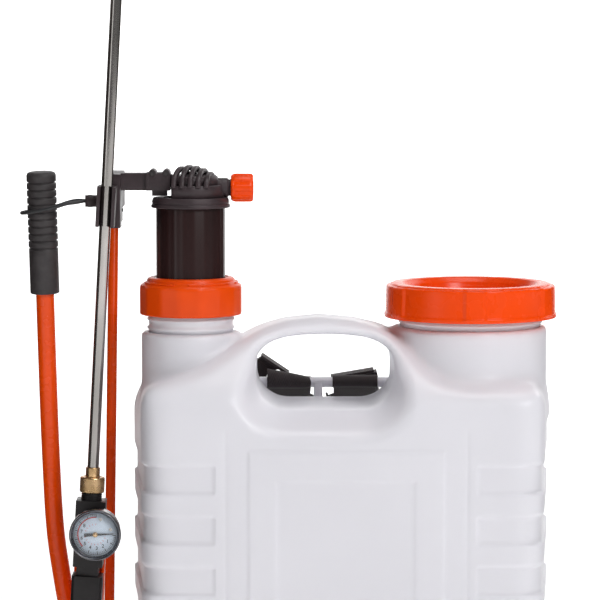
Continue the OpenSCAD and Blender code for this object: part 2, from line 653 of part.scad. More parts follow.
tank_shell();
base_stand();
base_screws();
shaft_bushes();
guide_nut();
pump_barrel();
barrel_gasket();
inlet_valve();
suction_strainer();
strainer_basket();
strap_left();
strap_right();
pad_left();
pad_right();
buckle_left();
buckle_right();
strap_hooks();
lever_shaft();
lever_hub();
lever_tube();
lever_grip();
crank_arm();
crank_pin();
shaft_clip();
air_chamber();
chamber_cap();
cap_oring();
dip_tube();
outlet_ball();
piston_seal();
pump_bracket();
bracket_screws();
link_rod();
tie_loop();
hose_washer();
hose_nut();
gun_valve_body();
gun_handle();
gauge_case();
gauge_bezel();
gauge_dial();
gauge_screws();
gauge_lens();
gauge_pointer();
gun_trigger();
trigger_pin();
valve_stem();
valve_spring();
hose_tail();
gun_hose_nut();
gun_filter();
lance_tube();
lance_collar();
lance_nut();
nozzle_body();
nozzle_cap();
cap_gasket();
filler_cap();
cap_vent();
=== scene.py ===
import json
import math

import bmesh
import bpy
import numpy as np
from bpy.props import FloatProperty, FloatVectorProperty, IntProperty, PointerProperty
from mathutils import Matrix, Vector

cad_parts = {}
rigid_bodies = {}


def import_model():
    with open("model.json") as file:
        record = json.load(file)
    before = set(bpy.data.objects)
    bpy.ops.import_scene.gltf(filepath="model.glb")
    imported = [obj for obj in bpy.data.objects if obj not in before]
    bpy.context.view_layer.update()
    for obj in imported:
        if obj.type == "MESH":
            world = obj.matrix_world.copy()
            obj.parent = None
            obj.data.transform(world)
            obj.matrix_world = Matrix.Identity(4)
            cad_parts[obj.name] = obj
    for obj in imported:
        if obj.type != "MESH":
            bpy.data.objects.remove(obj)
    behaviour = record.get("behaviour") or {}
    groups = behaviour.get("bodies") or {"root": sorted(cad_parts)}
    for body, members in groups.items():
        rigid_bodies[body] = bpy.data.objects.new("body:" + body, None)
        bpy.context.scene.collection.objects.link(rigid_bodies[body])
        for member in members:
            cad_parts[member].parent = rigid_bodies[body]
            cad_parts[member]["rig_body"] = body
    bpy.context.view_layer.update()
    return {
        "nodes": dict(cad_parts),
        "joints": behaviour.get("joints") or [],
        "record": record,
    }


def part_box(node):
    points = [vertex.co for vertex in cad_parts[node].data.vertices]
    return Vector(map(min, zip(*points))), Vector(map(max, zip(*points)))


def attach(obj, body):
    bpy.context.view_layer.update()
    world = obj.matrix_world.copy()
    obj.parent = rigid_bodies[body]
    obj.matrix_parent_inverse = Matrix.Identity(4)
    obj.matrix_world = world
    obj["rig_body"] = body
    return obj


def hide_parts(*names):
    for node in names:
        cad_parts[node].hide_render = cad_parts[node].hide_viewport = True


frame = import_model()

bl_info = {
    "name": "Backpack sprayer",
    "version": (1, 0, 0),
    "blender": (4, 5, 0),
    "location": "View3D > Sidebar > Sprayer",
    "description": "Builds the visible pieces of a backpack sprayer around its packed frame",
    "category": "Object",
}

MM = 0.001
NODES = frame["nodes"]
JOINTS = {j["name"]: j for j in frame["joints"]}


# ---------------------------------------------------------------- frame places

def middle(node):
    """Centre of a node's box, in millimetres."""
    lo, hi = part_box(node)
    return (lo + hi) * 500


def high(node):
    """Upper corner of a node's box, in millimetres."""
    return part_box(node)[1] * 1000


def hinge(name):
    """A hinge's point and unit axis, in millimetres."""
    joint = JOINTS[name]
    return Vector(joint["pos_m"]) * 1000, Vector(joint["axis"]).normalized()


PUMP = Vector((middle("air_chamber").x, middle("air_chamber").y, 0))
FILLER = Vector((middle("filler_cap").x, middle("filler_cap").y, 0))
GUN_AXIS = hinge("lance_nut_spin")[1]
GUN_AT = Vector((-217.6, -48.0, 296.0))
GUN_X = Vector((GUN_AXIS.z, 0, -GUN_AXIS.x))


def in_gun(x, y, s):
    """A point of the spray gun: x across, y away from the gauge's side, s along the lance."""
    return GUN_AT + GUN_X * x + Vector((0, y, 0)) + GUN_AXIS * s


GUN = Matrix.Translation(GUN_AT) @ Matrix((
    (GUN_X.x, 0, GUN_AXIS.x, 0), (0, 1, 0, 0), (GUN_X.z, 0, GUN_AXIS.z, 0), (0, 0, 0, 1)))


def facing(direction, at):
    """A matrix that turns +Z to the direction and moves to the point."""
    turn = Vector((0, 0, 1)).rotation_difference(Vector(direction)).to_matrix().to_4x4()
    return Matrix.Translation(Vector(at)) @ turn


# ---------------------------------------------------------------- shader writing

class Sock:
    """A socket whose operators add Math nodes."""

    def __init__(self, tree, out):
        self.tree, self.out = tree, out

    def math(self, operation, *others):
        node = self.tree.nodes.new("ShaderNodeMath")
        node.operation = operation
        for i, value in enumerate((self, *others)):
            plug(self.tree, value, node.inputs[i])
        return Sock(self.tree, node.outputs[0])

    def __add__(self, other):
        return self.math("ADD", other)

    def __sub__(self, other):
        return self.math("SUBTRACT", other)

    def __mul__(self, other):
        return self.math("MULTIPLY", other)



def plug(tree, value, socket):
    if isinstance(value, Sock):
        tree.links.new(value.out, socket)
    else:
        socket.default_value = value


class Shader:
    """A material under construction."""

    def __init__(self, name, color, roughness=0.45, **constants):
        self.material = bpy.data.materials.new(name)
        self.material.use_nodes = True
        self.tree = self.material.node_tree
        self.bsdf = self.tree.nodes["Principled BSDF"]
        self.material.diffuse_color = (*color, 1)
        self.set("Base Color", (*color, 1))
        self.set("Roughness", roughness)
        for key, value in constants.items():
            self.set(key.replace("_", " "), value)

    def set(self, socket, value):
        plug(self.tree, value, self.bsdf.inputs[socket])

    def node(self, kind, settings=None, out=0, **values):
        node = self.tree.nodes.new(kind)
        for key, value in (settings or {}).items():
            setattr(node, key, value)
        for key, value in values.items():
            plug(self.tree, value, node.inputs[key.replace("_", " ")])
        return Sock(self.tree, node.outputs[out])

    def place(self, kind="Object"):
        return self.node("ShaderNodeTexCoord", out={"UV": 2, "Object": 3}[kind])

    def noise(self, scale, detail=3.0, stretch=None):
        where = self.place()
        if stretch:
            where = self.node("ShaderNodeMapping", Vector=where, Scale=stretch)
        return self.node("ShaderNodeTexNoise", Vector=where, Scale=scale, Detail=detail)

    def mix(self, factor, a, b):
        node = self.tree.nodes.new("ShaderNodeMix")
        node.data_type = "RGBA"
        plug(self.tree, factor, node.inputs[0])
        for socket, color in ((node.inputs[6], a), (node.inputs[7], b)):
            plug(self.tree, color if isinstance(color, Sock) else (*color, 1), socket)
        return Sock(self.tree, node.outputs[2])

    def smooth(self, value, start, end, low=0.0, high=1.0):
        node = self.tree.nodes.new("ShaderNodeMapRange")
        node.interpolation_type = "SMOOTHSTEP"
        for socket, item in zip(node.inputs, (value, start, end, low, high)):
            plug(self.tree, item, socket)
        return Sock(self.tree, node.outputs[0])

    def bump(self, height, strength, distance=0.001):
        self.set("Normal", self.node("ShaderNodeBump", Height=height, Strength=strength, Distance=distance))


def shade(color, by):
    return tuple(min(1.0, c * by) for c in color)


MATERIALS = {}


def material(name):
    if name not in MATERIALS:
        MATERIALS[name] = MAKERS[name]().material
    return MATERIALS[name]


def tank_plastic():
    """Natural polyethylene: milky, with light scattering under a satin skin."""
    tint = tuple(bpy.context.scene.sprayer_colors.tank)
    s = Shader("tank_plastic", tint, 0.38, Subsurface_Weight=0.3, Subsurface_Scale=0.005,
               Subsurface_Radius=(1.0, 0.95, 1.0), Specular_IOR_Level=0.45)
    cloud = s.noise(9.0, 3.0)
    s.set("Base Color", s.mix(s.smooth(cloud, 0.35, 0.65), shade(tint, 0.985), shade(tint, 1.01)))
    fine = s.noise(900.0, 2.0)
    broad = s.noise(26.0, 2.0)
    s.set("Roughness", s.smooth(broad, 0.3, 0.7, 0.34, 0.44))
    s.bump(fine * 0.3 + broad * 0.8, 0.12, 0.0006)
    return s


def simple(name, color, gloss, tones=None, rough=None, grain=None, **constants):
    """A maker of a plain material. The colour may name one of the add-on's colours.
    Each variation starts with its noise's scale and detail: tones goes on with two colours or two
    factors of the colour, rough with two roughnesses, grain with a bump's strength and depth."""
    def make():
        tint = tuple(getattr(bpy.context.scene.sprayer_colors, color)) if isinstance(color, str) else color
        s = Shader(name, tint, gloss, **constants)
        if tones:
            ends = [shade(tint, end) if isinstance(end, float) else end for end in tones[2:]]
            s.set("Base Color", s.mix(s.smooth(s.noise(*tones[:2]), 0.3, 0.7), *ends))
        if rough:
            s.set("Roughness", s.smooth(s.noise(*rough[:2]), 0.3, 0.7, *rough[2:]))
        if grain:
            s.bump(s.noise(*grain[:2]), *grain[2:])
        return s
    return make


def chamber_plastic():
    """Smoked plastic: dark, glossy, with a red tint where light passes."""
    s = Shader("chamber_plastic", (0.015, 0.008, 0.008), 0.3, Specular_IOR_Level=0.3)
    streak = s.noise(16.0, 3.0, stretch=(1, 1, 0.15))
    s.set("Base Color", s.mix(s.smooth(streak, 0.35, 0.7), (0.012, 0.007, 0.007), (0.026, 0.009, 0.009)))
    s.bump(streak, 0.1, 0.0012)
    return s


def steel():
    """Drawn stainless tube with fine lines along its length."""
    s = Shader("steel", (0.42, 0.39, 0.37), 0.12, Metallic=1.0)
    lines = s.noise(240.0, 3.0, stretch=(1, 1, 0.02))
    s.set("Base Color", s.mix(s.smooth(s.noise(14.0, 4.0), 0.35, 0.7), (0.31, 0.295, 0.28), (0.4, 0.38, 0.365)))
    s.set("Roughness", s.smooth(lines, 0.3, 0.7, 0.13, 0.22))
    return s


def woven(name, color, across, along):
    """A maker of webbing or cloth with its threads' pitches in metres, drawn from the piece's own UV."""
    def make():
        s = Shader(name, color, 0.75, Sheen_Weight=0.25, Sheen_Roughness=0.5)
        uv = s.place("UV")
        parts = s.node("ShaderNodeSeparateXYZ", Vector=uv)
        node = parts.out.node
        u, v = Sock(s.tree, node.outputs[0]), Sock(s.tree, node.outputs[1])
        warp = (u * (2 * math.pi / across)).math("SINE")
        weft = (v * (2 * math.pi / along)).math("SINE")
        cell = warp * weft
        s.set("Base Color", s.mix(s.smooth(cell, -0.8, 0.8), shade(color, 0.6), shade(color, 1.5)))
        fuzz = s.noise(1500.0, 3.0)
        s.bump(cell * 0.5 + warp.math("ABSOLUTE") * 0.5 + fuzz * 0.4, 0.6, 0.0006)
        s.set("Roughness", s.smooth(fuzz, 0.3, 0.7, 0.65, 0.85))
        return s
    return make


def floor_paint():
    """White paper, lit by the lamps near the object and glowing of itself far from it."""
    s = Shader("floor_paint", (0.9, 0.9, 0.9), 0.7, Emission_Strength=1.0)
    s.set("Base Color", s.mix(s.smooth(s.noise(1.5, 3.0), 0.3, 0.7), (0.89, 0.89, 0.89), (0.91, 0.91, 0.91)))
    away = s.node("ShaderNodeVectorMath", {"operation": "LENGTH"}, 1, Vector=s.place())
    s.set("Emission Color", s.mix(s.smooth(away, 0.8, 2.6), (0.44, 0.44, 0.44), (1, 1, 1)))
    return s


MAKERS = {
    "tank_plastic": tank_plastic, "chamber_plastic": chamber_plastic, "steel": steel, "floor_paint": floor_paint,
    "webbing": woven("webbing", (0.024, 0.016, 0.017), 0.0022, 0.0032),
    "pad_cloth": woven("pad_cloth", (0.035, 0.032, 0.035), 0.0016, 0.0016),
}
for row in (
    ("orange_plastic", "orange", 0.3, (30, 4, 0.97, 1.03), (70, 4, 0.22, 0.32), (30, 2, 0.02, 0.001),
     {"Specular_IOR_Level": 0.22}),
    ("nut_plastic", (0.79, 0.066, 0.0), 0.32, (34, 4, (0.76, 0.062, 0.0), (0.82, 0.07, 0.0)), None,
     (60, 3, 0.06, 0.001), {"Specular_IOR_Level": 0.22}),
    ("black_plastic", (0.04, 0.028, 0.031), 0.4, (55, 4, 0.8, 1.25), (55, 4, 0.36, 0.52), (900, 3, 0.12, 0.0004),
     {"Specular_IOR_Level": 0.28}),
    ("gun_plastic", (0.013, 0.011, 0.0115), 0.36, (55, 4, 0.8, 1.25), (55, 4, 0.32, 0.48),
     (900, 3, 0.12, 0.0004), {"Specular_IOR_Level": 0.28}),
    ("lever_paint", "lever", 0.26, (20, 4, 0.96, 1.04), (70, 2, 0.22, 0.3), None, {"Specular_IOR_Level": 0.3}),
    ("grip_rubber", (0.018, 0.016, 0.017), 0.5, (80, 5, (0.03, 0.026, 0.027), (0.046, 0.04, 0.041)), None,
     (1600, 3, 0.2, 0.0004), {"Specular_IOR_Level": 0.35}),
    ("seal_rubber", (0.018, 0.018, 0.02), 0.5, None, None, (700, 3, 0.2, 0.0004), {}),
    ("brass", (0.58, 0.38, 0.19), 0.3, (90, 5, (0.5, 0.32, 0.15), (0.66, 0.45, 0.25)), (300, 3, 0.22, 0.42), None,
     {"Metallic": 1.0}),
    ("dark_steel", (0.05, 0.045, 0.045), 0.35, None, (200, 3, 0.3, 0.45), None, {"Metallic": 0.8}),
    ("gauge_metal", (0.13, 0.13, 0.14), 0.16, None, (60, 4, 0.14, 0.28), None, {"Metallic": 1.0}),
    ("dial_face", (0.6, 0.69, 0.8), 0.5, (160, 3, (0.58, 0.67, 0.78), (0.63, 0.72, 0.83)), None, None,
     {"Specular_IOR_Level": 0.2}),
    ("lens_glass", (0.95, 0.98, 1.0), 0.03, None, (40, 2, 0.02, 0.05), None, {"Alpha": 0.04}),
    ("white_plastic", (0.74, 0.74, 0.76), 0.4, None, (60, 3, 0.34, 0.48), (500, 3, 0.1, 0.0004),
     {"Subsurface_Weight": 0.2, "Subsurface_Scale": 0.004}),
    ("stand_plastic", (0.035, 0.032, 0.034), 0.5, (40, 5, (0.028, 0.026, 0.028), (0.046, 0.042, 0.044)), None,
     (1300, 3, 0.3, 0.0006), {}),
    ("wall_paint", (0.9, 0.9, 0.9), 0.8, (1.5, 3, (0.89, 0.89, 0.89), (0.91, 0.91, 0.91)), None, None,
     {"Emission_Color": (1, 1, 1, 1), "Emission_Strength": 1.0}),
    ("dial_black", (0.02, 0.02, 0.025), 0.4, (500, 2, 0.9, 1.1), None, None, {}),
    ("dial_red", (0.6, 0.03, 0.03), 0.4, (500, 2, 0.9, 1.1), None, None, {}),
    ("flag_cloth", (0.04, 0.032, 0.03), 0.4, (500, 2, 0.9, 1.1), None, None, {}),
    ("stitch", (0.09, 0.085, 0.09), 0.4, (500, 2, 0.9, 1.1), None, None, {}),
):
    MAKERS[row[0]] = simple(*row[:-1], **row[-1])


# ---------------------------------------------------------------- mesh helpers

def link(name, mesh, paint, body, smooth=True):
    """Makes an object of a mesh in metres and gives it its material, body and slot."""
    piece = bpy.data.objects.new(name, mesh)
    bpy.context.scene.collection.objects.link(piece)
    mesh.materials.clear()
    mesh.materials.append(material(paint))
    if smooth:
        mesh.shade_smooth()
    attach(piece, body)
    return piece


def mesh_of(name, points, faces, matrix=None):
    """A mesh from points in millimetres."""
    if matrix is not None:
        points = [matrix @ Vector(p) for p in points]
    mesh = bpy.data.meshes.new(name)
    mesh.from_pydata([Vector(p) * MM for p in points], [], faces)
    mesh.update()
    return mesh


def joined(name, *meshes):
    """One mesh from several."""
    bm = bmesh.new()
    for mesh in meshes:
        bm.from_mesh(mesh)
    out = bpy.data.meshes.new(name)
    bm.to_mesh(out)
    bm.free()
    return out


def evaluated(piece):
    """A mesh of the object with its modifiers applied."""
    graph = bpy.context.evaluated_depsgraph_get()
    return bpy.data.meshes.new_from_object(piece.evaluated_get(graph))


def outward(mesh, merge=1e-6):
    """The mesh with all its faces turned outwards, and with points this close merged."""
    bm = bmesh.new()
    bm.from_mesh(mesh)
    if merge:
        bmesh.ops.remove_doubles(bm, verts=bm.verts, dist=merge)
    bmesh.ops.recalc_face_normals(bm, faces=bm.faces)
    bm.to_mesh(mesh)
    bm.free()
    return mesh


def lathe(name, profile, matrix=None, sides=96, radius_at=None):
    """Turns a profile of (radius, height) points; a radius of 0 makes a closed pole.
    radius_at(angle, radius, height) may change the radius, for facets and lugs."""
    points, rings = [], []
    for r, h in profile:
        if r < 1e-6:
            rings.append([len(points)])
            points.append((0, 0, h))
            continue
        ring = []
        for k in range(sides):
            a = 2 * math.pi * k / sides
            rr = radius_at(a, r, h) if radius_at else r
            ring.append(len(points))
            points.append((rr * math.cos(a), rr * math.sin(a), h))
        rings.append(ring)
    faces = []
    for a, b in zip(rings, rings[1:]):
        for k in range(sides):
            n = (k + 1) % sides
            if len(a) == 1 and len(b) == 1:
                continue
            if len(a) == 1:
                faces.append((a[0], b[n], b[k]))
            elif len(b) == 1:
                faces.append((a[k], a[n], b[0]))
            else:
                faces.append((a[k], a[n], b[n], b[k]))
    return outward(mesh_of(name, points, faces, matrix))


def stacked(name, rings, matrix=None):
    """A closed solid through rings of equally many points."""
    n = len(rings[0])
    faces = [(i * n + k, i * n + (k + 1) % n, (i + 1) * n + (k + 1) % n, (i + 1) * n + k)
             for i in range(len(rings) - 1) for k in range(n)]
    faces += [tuple(range(n - 1, -1, -1)), tuple(range(n * (len(rings) - 1), n * len(rings)))]
    return mesh_of(name, [p for ring in rings for p in ring], faces, matrix)


def rounded(corners, radius, steps=4):
    """A profile with its corners rounded; the first and last points stay sharp."""
    out = [corners[0]]
    for before, here, after in zip(corners, corners[1:], corners[2:]):
        p, q, r = (np.array(v, float) for v in (before, here, after))
        a, b = p - q, r - q
        la, lb = np.linalg.norm(a), np.linalg.norm(b)
        cut = min(radius, la * 0.45, lb * 0.45)
        if cut < 1e-6:
            out.append(tuple(q))
            continue
        start, end = q + a / la * cut, q + b / lb * cut
        for i in range(steps + 1):
            t = i / steps
            out.append(tuple((1 - t) ** 2 * start + 2 * t * (1 - t) * q + t * t * end))
    out.append(corners[-1])
    return out


def smooth_line(points, per=6):
    """Catmull-Rom points through the given ones."""
    p = [Vector(points[0])] + [Vector(q) for q in points] + [Vector(points[-1])]
    out = []
    for i in range(1, len(p) - 2):
        for k in range(per):
            t = k / per
            out.append(0.5 * ((2 * p[i]) + (p[i + 1] - p[i - 1]) * t
                              + (2 * p[i - 1] - 5 * p[i] + 4 * p[i + 1] - p[i + 2]) * t * t
                              + (3 * p[i] - p[i - 1] - 3 * p[i + 1] + p[i + 2]) * t ** 3))
    out.append(p[-2])
    return out


def sweep(name, path, outline, across=(0, 1, 0)):
    """Sweeps an outline of (side, up) points along a path; across is the side direction's hint."""
    points, faces, n = [], [], len(outline)
    lengths = [0.0]
    for a, b in zip(path, path[1:]):
        lengths.append(lengths[-1] + (b - a).length)
    for i, p in enumerate(path):
        heading = (path[min(i + 1, len(path) - 1)] - path[max(i - 1, 0)]).normalized()
        side = Vector(across)
        side = (side - heading * side.dot(heading)).normalized()
        up = side.cross(heading)
        points += [p + side * s + up * u for s, u in outline]
    for i in range(len(path) - 1):
        for k in range(n):
            a, b = i * n + k, i * n + (k + 1) % n
            faces.append((a, b, b + n, a + n))
    faces.append(tuple(range(n - 1, -1, -1)))
    faces.append(tuple((len(path) - 1) * n + k for k in range(n)))
    mesh = mesh_of(name, points, faces)
    uv = mesh.uv_layers.new(name="UVMap")
    girth = [0.0]
    for (a, b), (c, d) in zip(outline, outline[1:] + outline[:1]):
        girth.append(girth[-1] + math.hypot(c - a, d - b))
    for face in mesh.polygons:
        if len(face.vertices) != 4 or face.index >= len(faces) - 2:
            continue
        i, k = divmod(face.index, n)
        corner = ((i, k), (i, k + 1), (i + 1, k + 1), (i + 1, k))
        for loop, (row, col) in zip(face.loop_indices, corner):
            uv.data[loop].uv = (girth[col] * MM, lengths[row] * MM)
    return outward(mesh, 0)


def unwrap(mesh, rule):
    """Gives a mesh a UV map: rule(face, vertex number, place) says where each corner goes."""
    uv = mesh.uv_layers[0] if mesh.uv_layers else mesh.uv_layers.new(name="UVMap")
    for face in mesh.polygons:
        for loop, vertex in zip(face.loop_indices, face.vertices):
            uv.data[loop].uv = rule(face, vertex, mesh.vertices[vertex].co)


def circle(radius, sides=24):
    """An outline for sweep."""
    return [(radius * math.cos(2 * math.pi * k / sides), radius * math.sin(2 * math.pi * k / sides))
            for k in range(sides)]


def softened(node, paint, width=0.6, segments=2):
    """A copy of a CAD node with its flat faces merged and its edges rounded, standing for the node."""
    bm = bmesh.new()
    bm.from_mesh(NODES[node].data)
    bmesh.ops.remove_doubles(bm, verts=bm.verts, dist=2e-6)
    bmesh.ops.dissolve_limit(bm, angle_limit=math.radians(1.0), verts=bm.verts, edges=bm.edges)
    mesh = bpy.data.meshes.new(node + "_finish")
    bm.to_mesh(mesh)
    bm.free()
    piece = finish(node + "_finish", mesh, paint, node)
    bevel = piece.modifiers.new("edges", "BEVEL")
    bevel.width, bevel.segments, bevel.limit_method = width * MM, segments, "ANGLE"
    bevel.angle_limit = math.radians(32)
    bevel.use_clamp_overlap = True
    bevel.harden_normals = True


def slot_of(node):
    """The material slot that the record gives a node."""
    for part in frame["record"]["subparts"]:
        if part["node"] == node:
            return part["material_slot"]
    raise ValueError(node)


def finish(name, mesh, paint, node, smooth=True):
    """A visible piece that stands for a CAD node, on the node's body and in its slot."""
    piece = link(name, mesh, paint, NODES[node]["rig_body"], smooth)
    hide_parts(node)
    return piece


# ---------------------------------------------------------------- geometry nodes

def ring_tree(name):
    """Copies of an item around an axis: inputs Item, Count, Radius, Start, Sweep and Material."""
    tree = bpy.data.node_groups.new(name, "GeometryNodeTree")
    tree.interface.new_socket("Geometry", in_out="OUTPUT", socket_type="NodeSocketGeometry")
    for label, kind in (("Item", "Object"), ("Count", "Int"), ("Radius", "Float"), ("Start", "Float"),
                        ("Sweep", "Float"), ("Material", "Material")):
        tree.interface.new_socket(label, in_out="INPUT", socket_type="NodeSocket" + kind)

    def add(kind, *sources, operation=None):
        """A node fed by (input, socket) pairs; gives its outputs."""
        node = tree.nodes.new(kind)
        if operation:
            node.operation = operation
        for where, source in sources:
            tree.links.new(source, node.inputs[where])
        return node.outputs

    given = add("NodeGroupInput")
    share = add("ShaderNodeMath", (0, add("GeometryNodeInputIndex")[0]), (1, given["Count"]), operation="DIVIDE")
    angle = add("ShaderNodeMath", (0, share[0]), (1, given["Sweep"]), (2, given["Start"]),
                operation="MULTIPLY_ADD")[0]
    sides = []
    for trig in ("COSINE", "SINE"):
        part = add("ShaderNodeMath", (0, angle), operation=trig)[0]
        sides.append(add("ShaderNodeMath", (0, part), (1, given["Radius"]), operation="MULTIPLY")[0])
    place = add("ShaderNodeCombineXYZ", *enumerate(sides))[0]
    turn = add("ShaderNodeCombineXYZ", (2, angle))[0]
    points = add("GeometryNodePoints", ("Count", given["Count"]), ("Position", place))[0]
    item = add("GeometryNodeObjectInfo", (0, given["Item"]))["Geometry"]
    copies = add("GeometryNodeInstanceOnPoints", ("Points", points), ("Instance", item), ("Rotation", turn))[0]
    real = add("GeometryNodeRealizeInstances", (0, copies))[0]
    paint = add("GeometryNodeSetMaterial", (0, real), ("Material", given["Material"]))[0]
    add("NodeGroupOutput", (0, paint))
    return tree


def moved(mesh, matrix):
    """The mesh, placed by a matrix whose translation is in millimetres."""
    matrix = matrix.copy()
    matrix.translation = matrix.translation * MM
    mesh.transform(matrix)
    return mesh


def ring_of(name, item, count, radius, paint, matrix, start, sweep_angle):
    """A plain mesh of copies of the item mesh, spread around Z and then placed by the matrix."""
    tree = bpy.data.node_groups.get("copies_around") or ring_tree("copies_around")
    source = bpy.data.objects.new(name + "_item", item)
    holder = bpy.data.objects.new(name + "_holder", bpy.data.meshes.new(name + "_holder"))
    for o in (source, holder):
        bpy.context.scene.collection.objects.link(o)
    modifier = holder.modifiers.new("copies", "NODES")
    modifier.node_group = tree
    keys = {s.name: s.identifier for s in tree.interface.items_tree if s.in_out == "INPUT"}
    values = {"Item": source, "Count": count, "Radius": radius * MM, "Start": start, "Sweep": sweep_angle,
              "Material": material(paint)}
    for label, value in values.items():
        modifier[keys[label]] = value
    mesh = evaluated(holder)
    for o in (source, holder):
        bpy.data.objects.remove(o)
    return moved(mesh, matrix)


def block(name, size, at=(0, 0, 0), bevel=0.0):
    """A box of the given size in millimetres, with bevelled edges."""
    bm = bmesh.new()
    bmesh.ops.create_cube(bm, size=1.0)
    for v in bm.verts:
        v.co = Vector((v.co.x * size[0] + at[0], v.co.y * size[1] + at[1], v.co.z * size[2] + at[2])) * MM
    if bevel:
        bmesh.ops.bevel(bm, geom=bm.edges, offset=bevel * MM, segments=2, profile=0.5, affect="EDGES")
    mesh = bpy.data.meshes.new(name)
    bm.to_mesh(mesh)
    bm.free()
    return mesh


# ---------------------------------------------------------------- tank

def table(points, blur):
    """A smooth curve through a coarse table, sampled every millimetre."""
    xs, ys = zip(*points)
    fine = np.arange(xs[0] - 60, xs[-1] + 60, 1.0)
    flat = np.interp(fine, xs, ys)
    kernel = np.exp(-0.5 * (np.arange(-3 * blur, 3 * blur + 1) / blur) ** 2)
    padded = np.pad(flat, 3 * blur, mode="edge")
    return fine, np.convolve(padded, kernel / kernel.sum(), "valid")


SKYLINE = table([(-198, 325), (-190, 345), (-185, 354), (-177.8, 363), (-167.2, 372), (-140.8, 381), (-118.4, 390),
                 (-102.1, 399.5), (-89.8, 408), (-71.3, 418), (-50.2, 424.5), (-20.3, 427.5), (10.5, 424.5),
                 (33.4, 418.5), (45.3, 412.5), (56, 402), (70, 388), (85, 378), (110, 373), (150, 373), (165, 371),
                 (178, 364), (186, 352), (192, 335), (198, 325)], 3)
HALF_DEPTH = table([(0, 95), (342, 95), (352, 92.5), (358, 90.5), (366, 85.5), (374, 79.5), (388, 64.5), (402, 51.5),
                    (414, 40.5), (427, 27)], 4)


def step(x, start, end):
    """Smooth rise from 0 at the start to 1 at the end."""
    t = np.clip((x - start) / (end - start), 0, 1)
    return t * t * (3 - 2 * t)


def union(a, b, k):
    """Two distance fields together, blended over k millimetres; meet is their overlap."""
    h = np.maximum(k - np.abs(a - b), 0) / k
    return np.minimum(a, b) - h * h * k / 4


def meet(a, b, k):
    return -union(-a, -b, k)


def tank_field(x, y, z):
    """Roughly the distance in millimetres outside the tank's skin."""
    t = bpy.context.scene.sprayer_tank
    rib_depth, pitch, bulge = t.rib_depth / MM, t.rib_pitch / MM, t.rib_height / MM
    # ribbed flanks and front, framed panel
    down = (325 - z) % pitch
    between = step(down, bulge - 1.6, bulge + 1.4) * (1 - step(down, pitch - 1.6, pitch + 1.4))
    between = between * step(325 - z, bulge - 2, bulge)
    flank = np.where(x < 0, step(-x, 109.2, 112.2), step(x, 114.2, 117.2))
    front = step(-y, 60, 80)
    edge = np.minimum(np.abs(x + 101), np.abs(x - 107))
    crease = 1.3 * (1 - step(edge, 0.3, 2.2)) * step(-z, -338, -328) * front
    frame_in = np.minimum(np.minimum(x + 81, 87 - x), np.minimum(318 - z, z - 92))
    label = np.minimum(np.minimum(x + 57, 62 - x), np.minimum(292 - z, z - 112))
    panel = (2.0 * step(frame_in, -1.0, 1.0) - 1.6 * step(label, -0.9, 0.9)) * front
    dent = rib_depth * between * flank + crease - panel
    lean = 17.5 / 190
    ends = np.abs(y) - 95 + dent
    sides = (np.abs(x) - 181.25 - lean * y) / math.hypot(1, lean) + dent
    r = 26.0
    a, b = ends + r, sides + r
    d = np.minimum(np.maximum(a, b), 0) + np.hypot(np.maximum(a, 0), np.maximum(b, 0)) - r
    depth = np.interp(z, *HALF_DEPTH)
    d = meet(d, (np.abs(y) - depth) * 0.76 + 0 * x, 9.0)
    d = meet(d, (z - np.interp(x, *SKYLINE)) * 0.86, 12.0)
    d = meet(d, 58.2 - z, 3.0)
    # carrying hole: flat below, round at the sides, opening out to both faces
    u, w = x + 15.5, z - 382.5
    qx, qz = np.abs(u) - 60 + 28, np.abs(w) - 33.5 + 28
    hole = np.minimum(np.maximum(qx, qz), 0) + np.hypot(np.maximum(qx, 0), np.maximum(qz, 0)) - 28
    hole = meet(hole, np.hypot(u, z - 262) - 153.5, 10.0)
    hole = hole - 19 * np.clip((np.abs(y) - 50) / 46, 0, 1) ** 1.2
    d = meet(d, -hole, 9.0)
    # necks
    px, fx = x - PUMP.x, x - FILLER.x
    around, filler = np.hypot(px, y), np.hypot(fx, y)
    neck = meet(around - 43.6, np.abs(z - 380) - 33.2, 4.0)
    mouth = meet(filler - 67.3, np.abs(z - 380) - 38.5, 4.5)
    d = union(d, neck, 7.0)
    d = union(d, mouth, 12.0)
    # bores for the pump barrel and the filler basket
    d = meet(d, -meet(around - 34.8, 92 - z, 2.0), 1.2)
    d = meet(d, -meet(filler - 59.6, 326 - z, 2.0), 1.2)
    return d


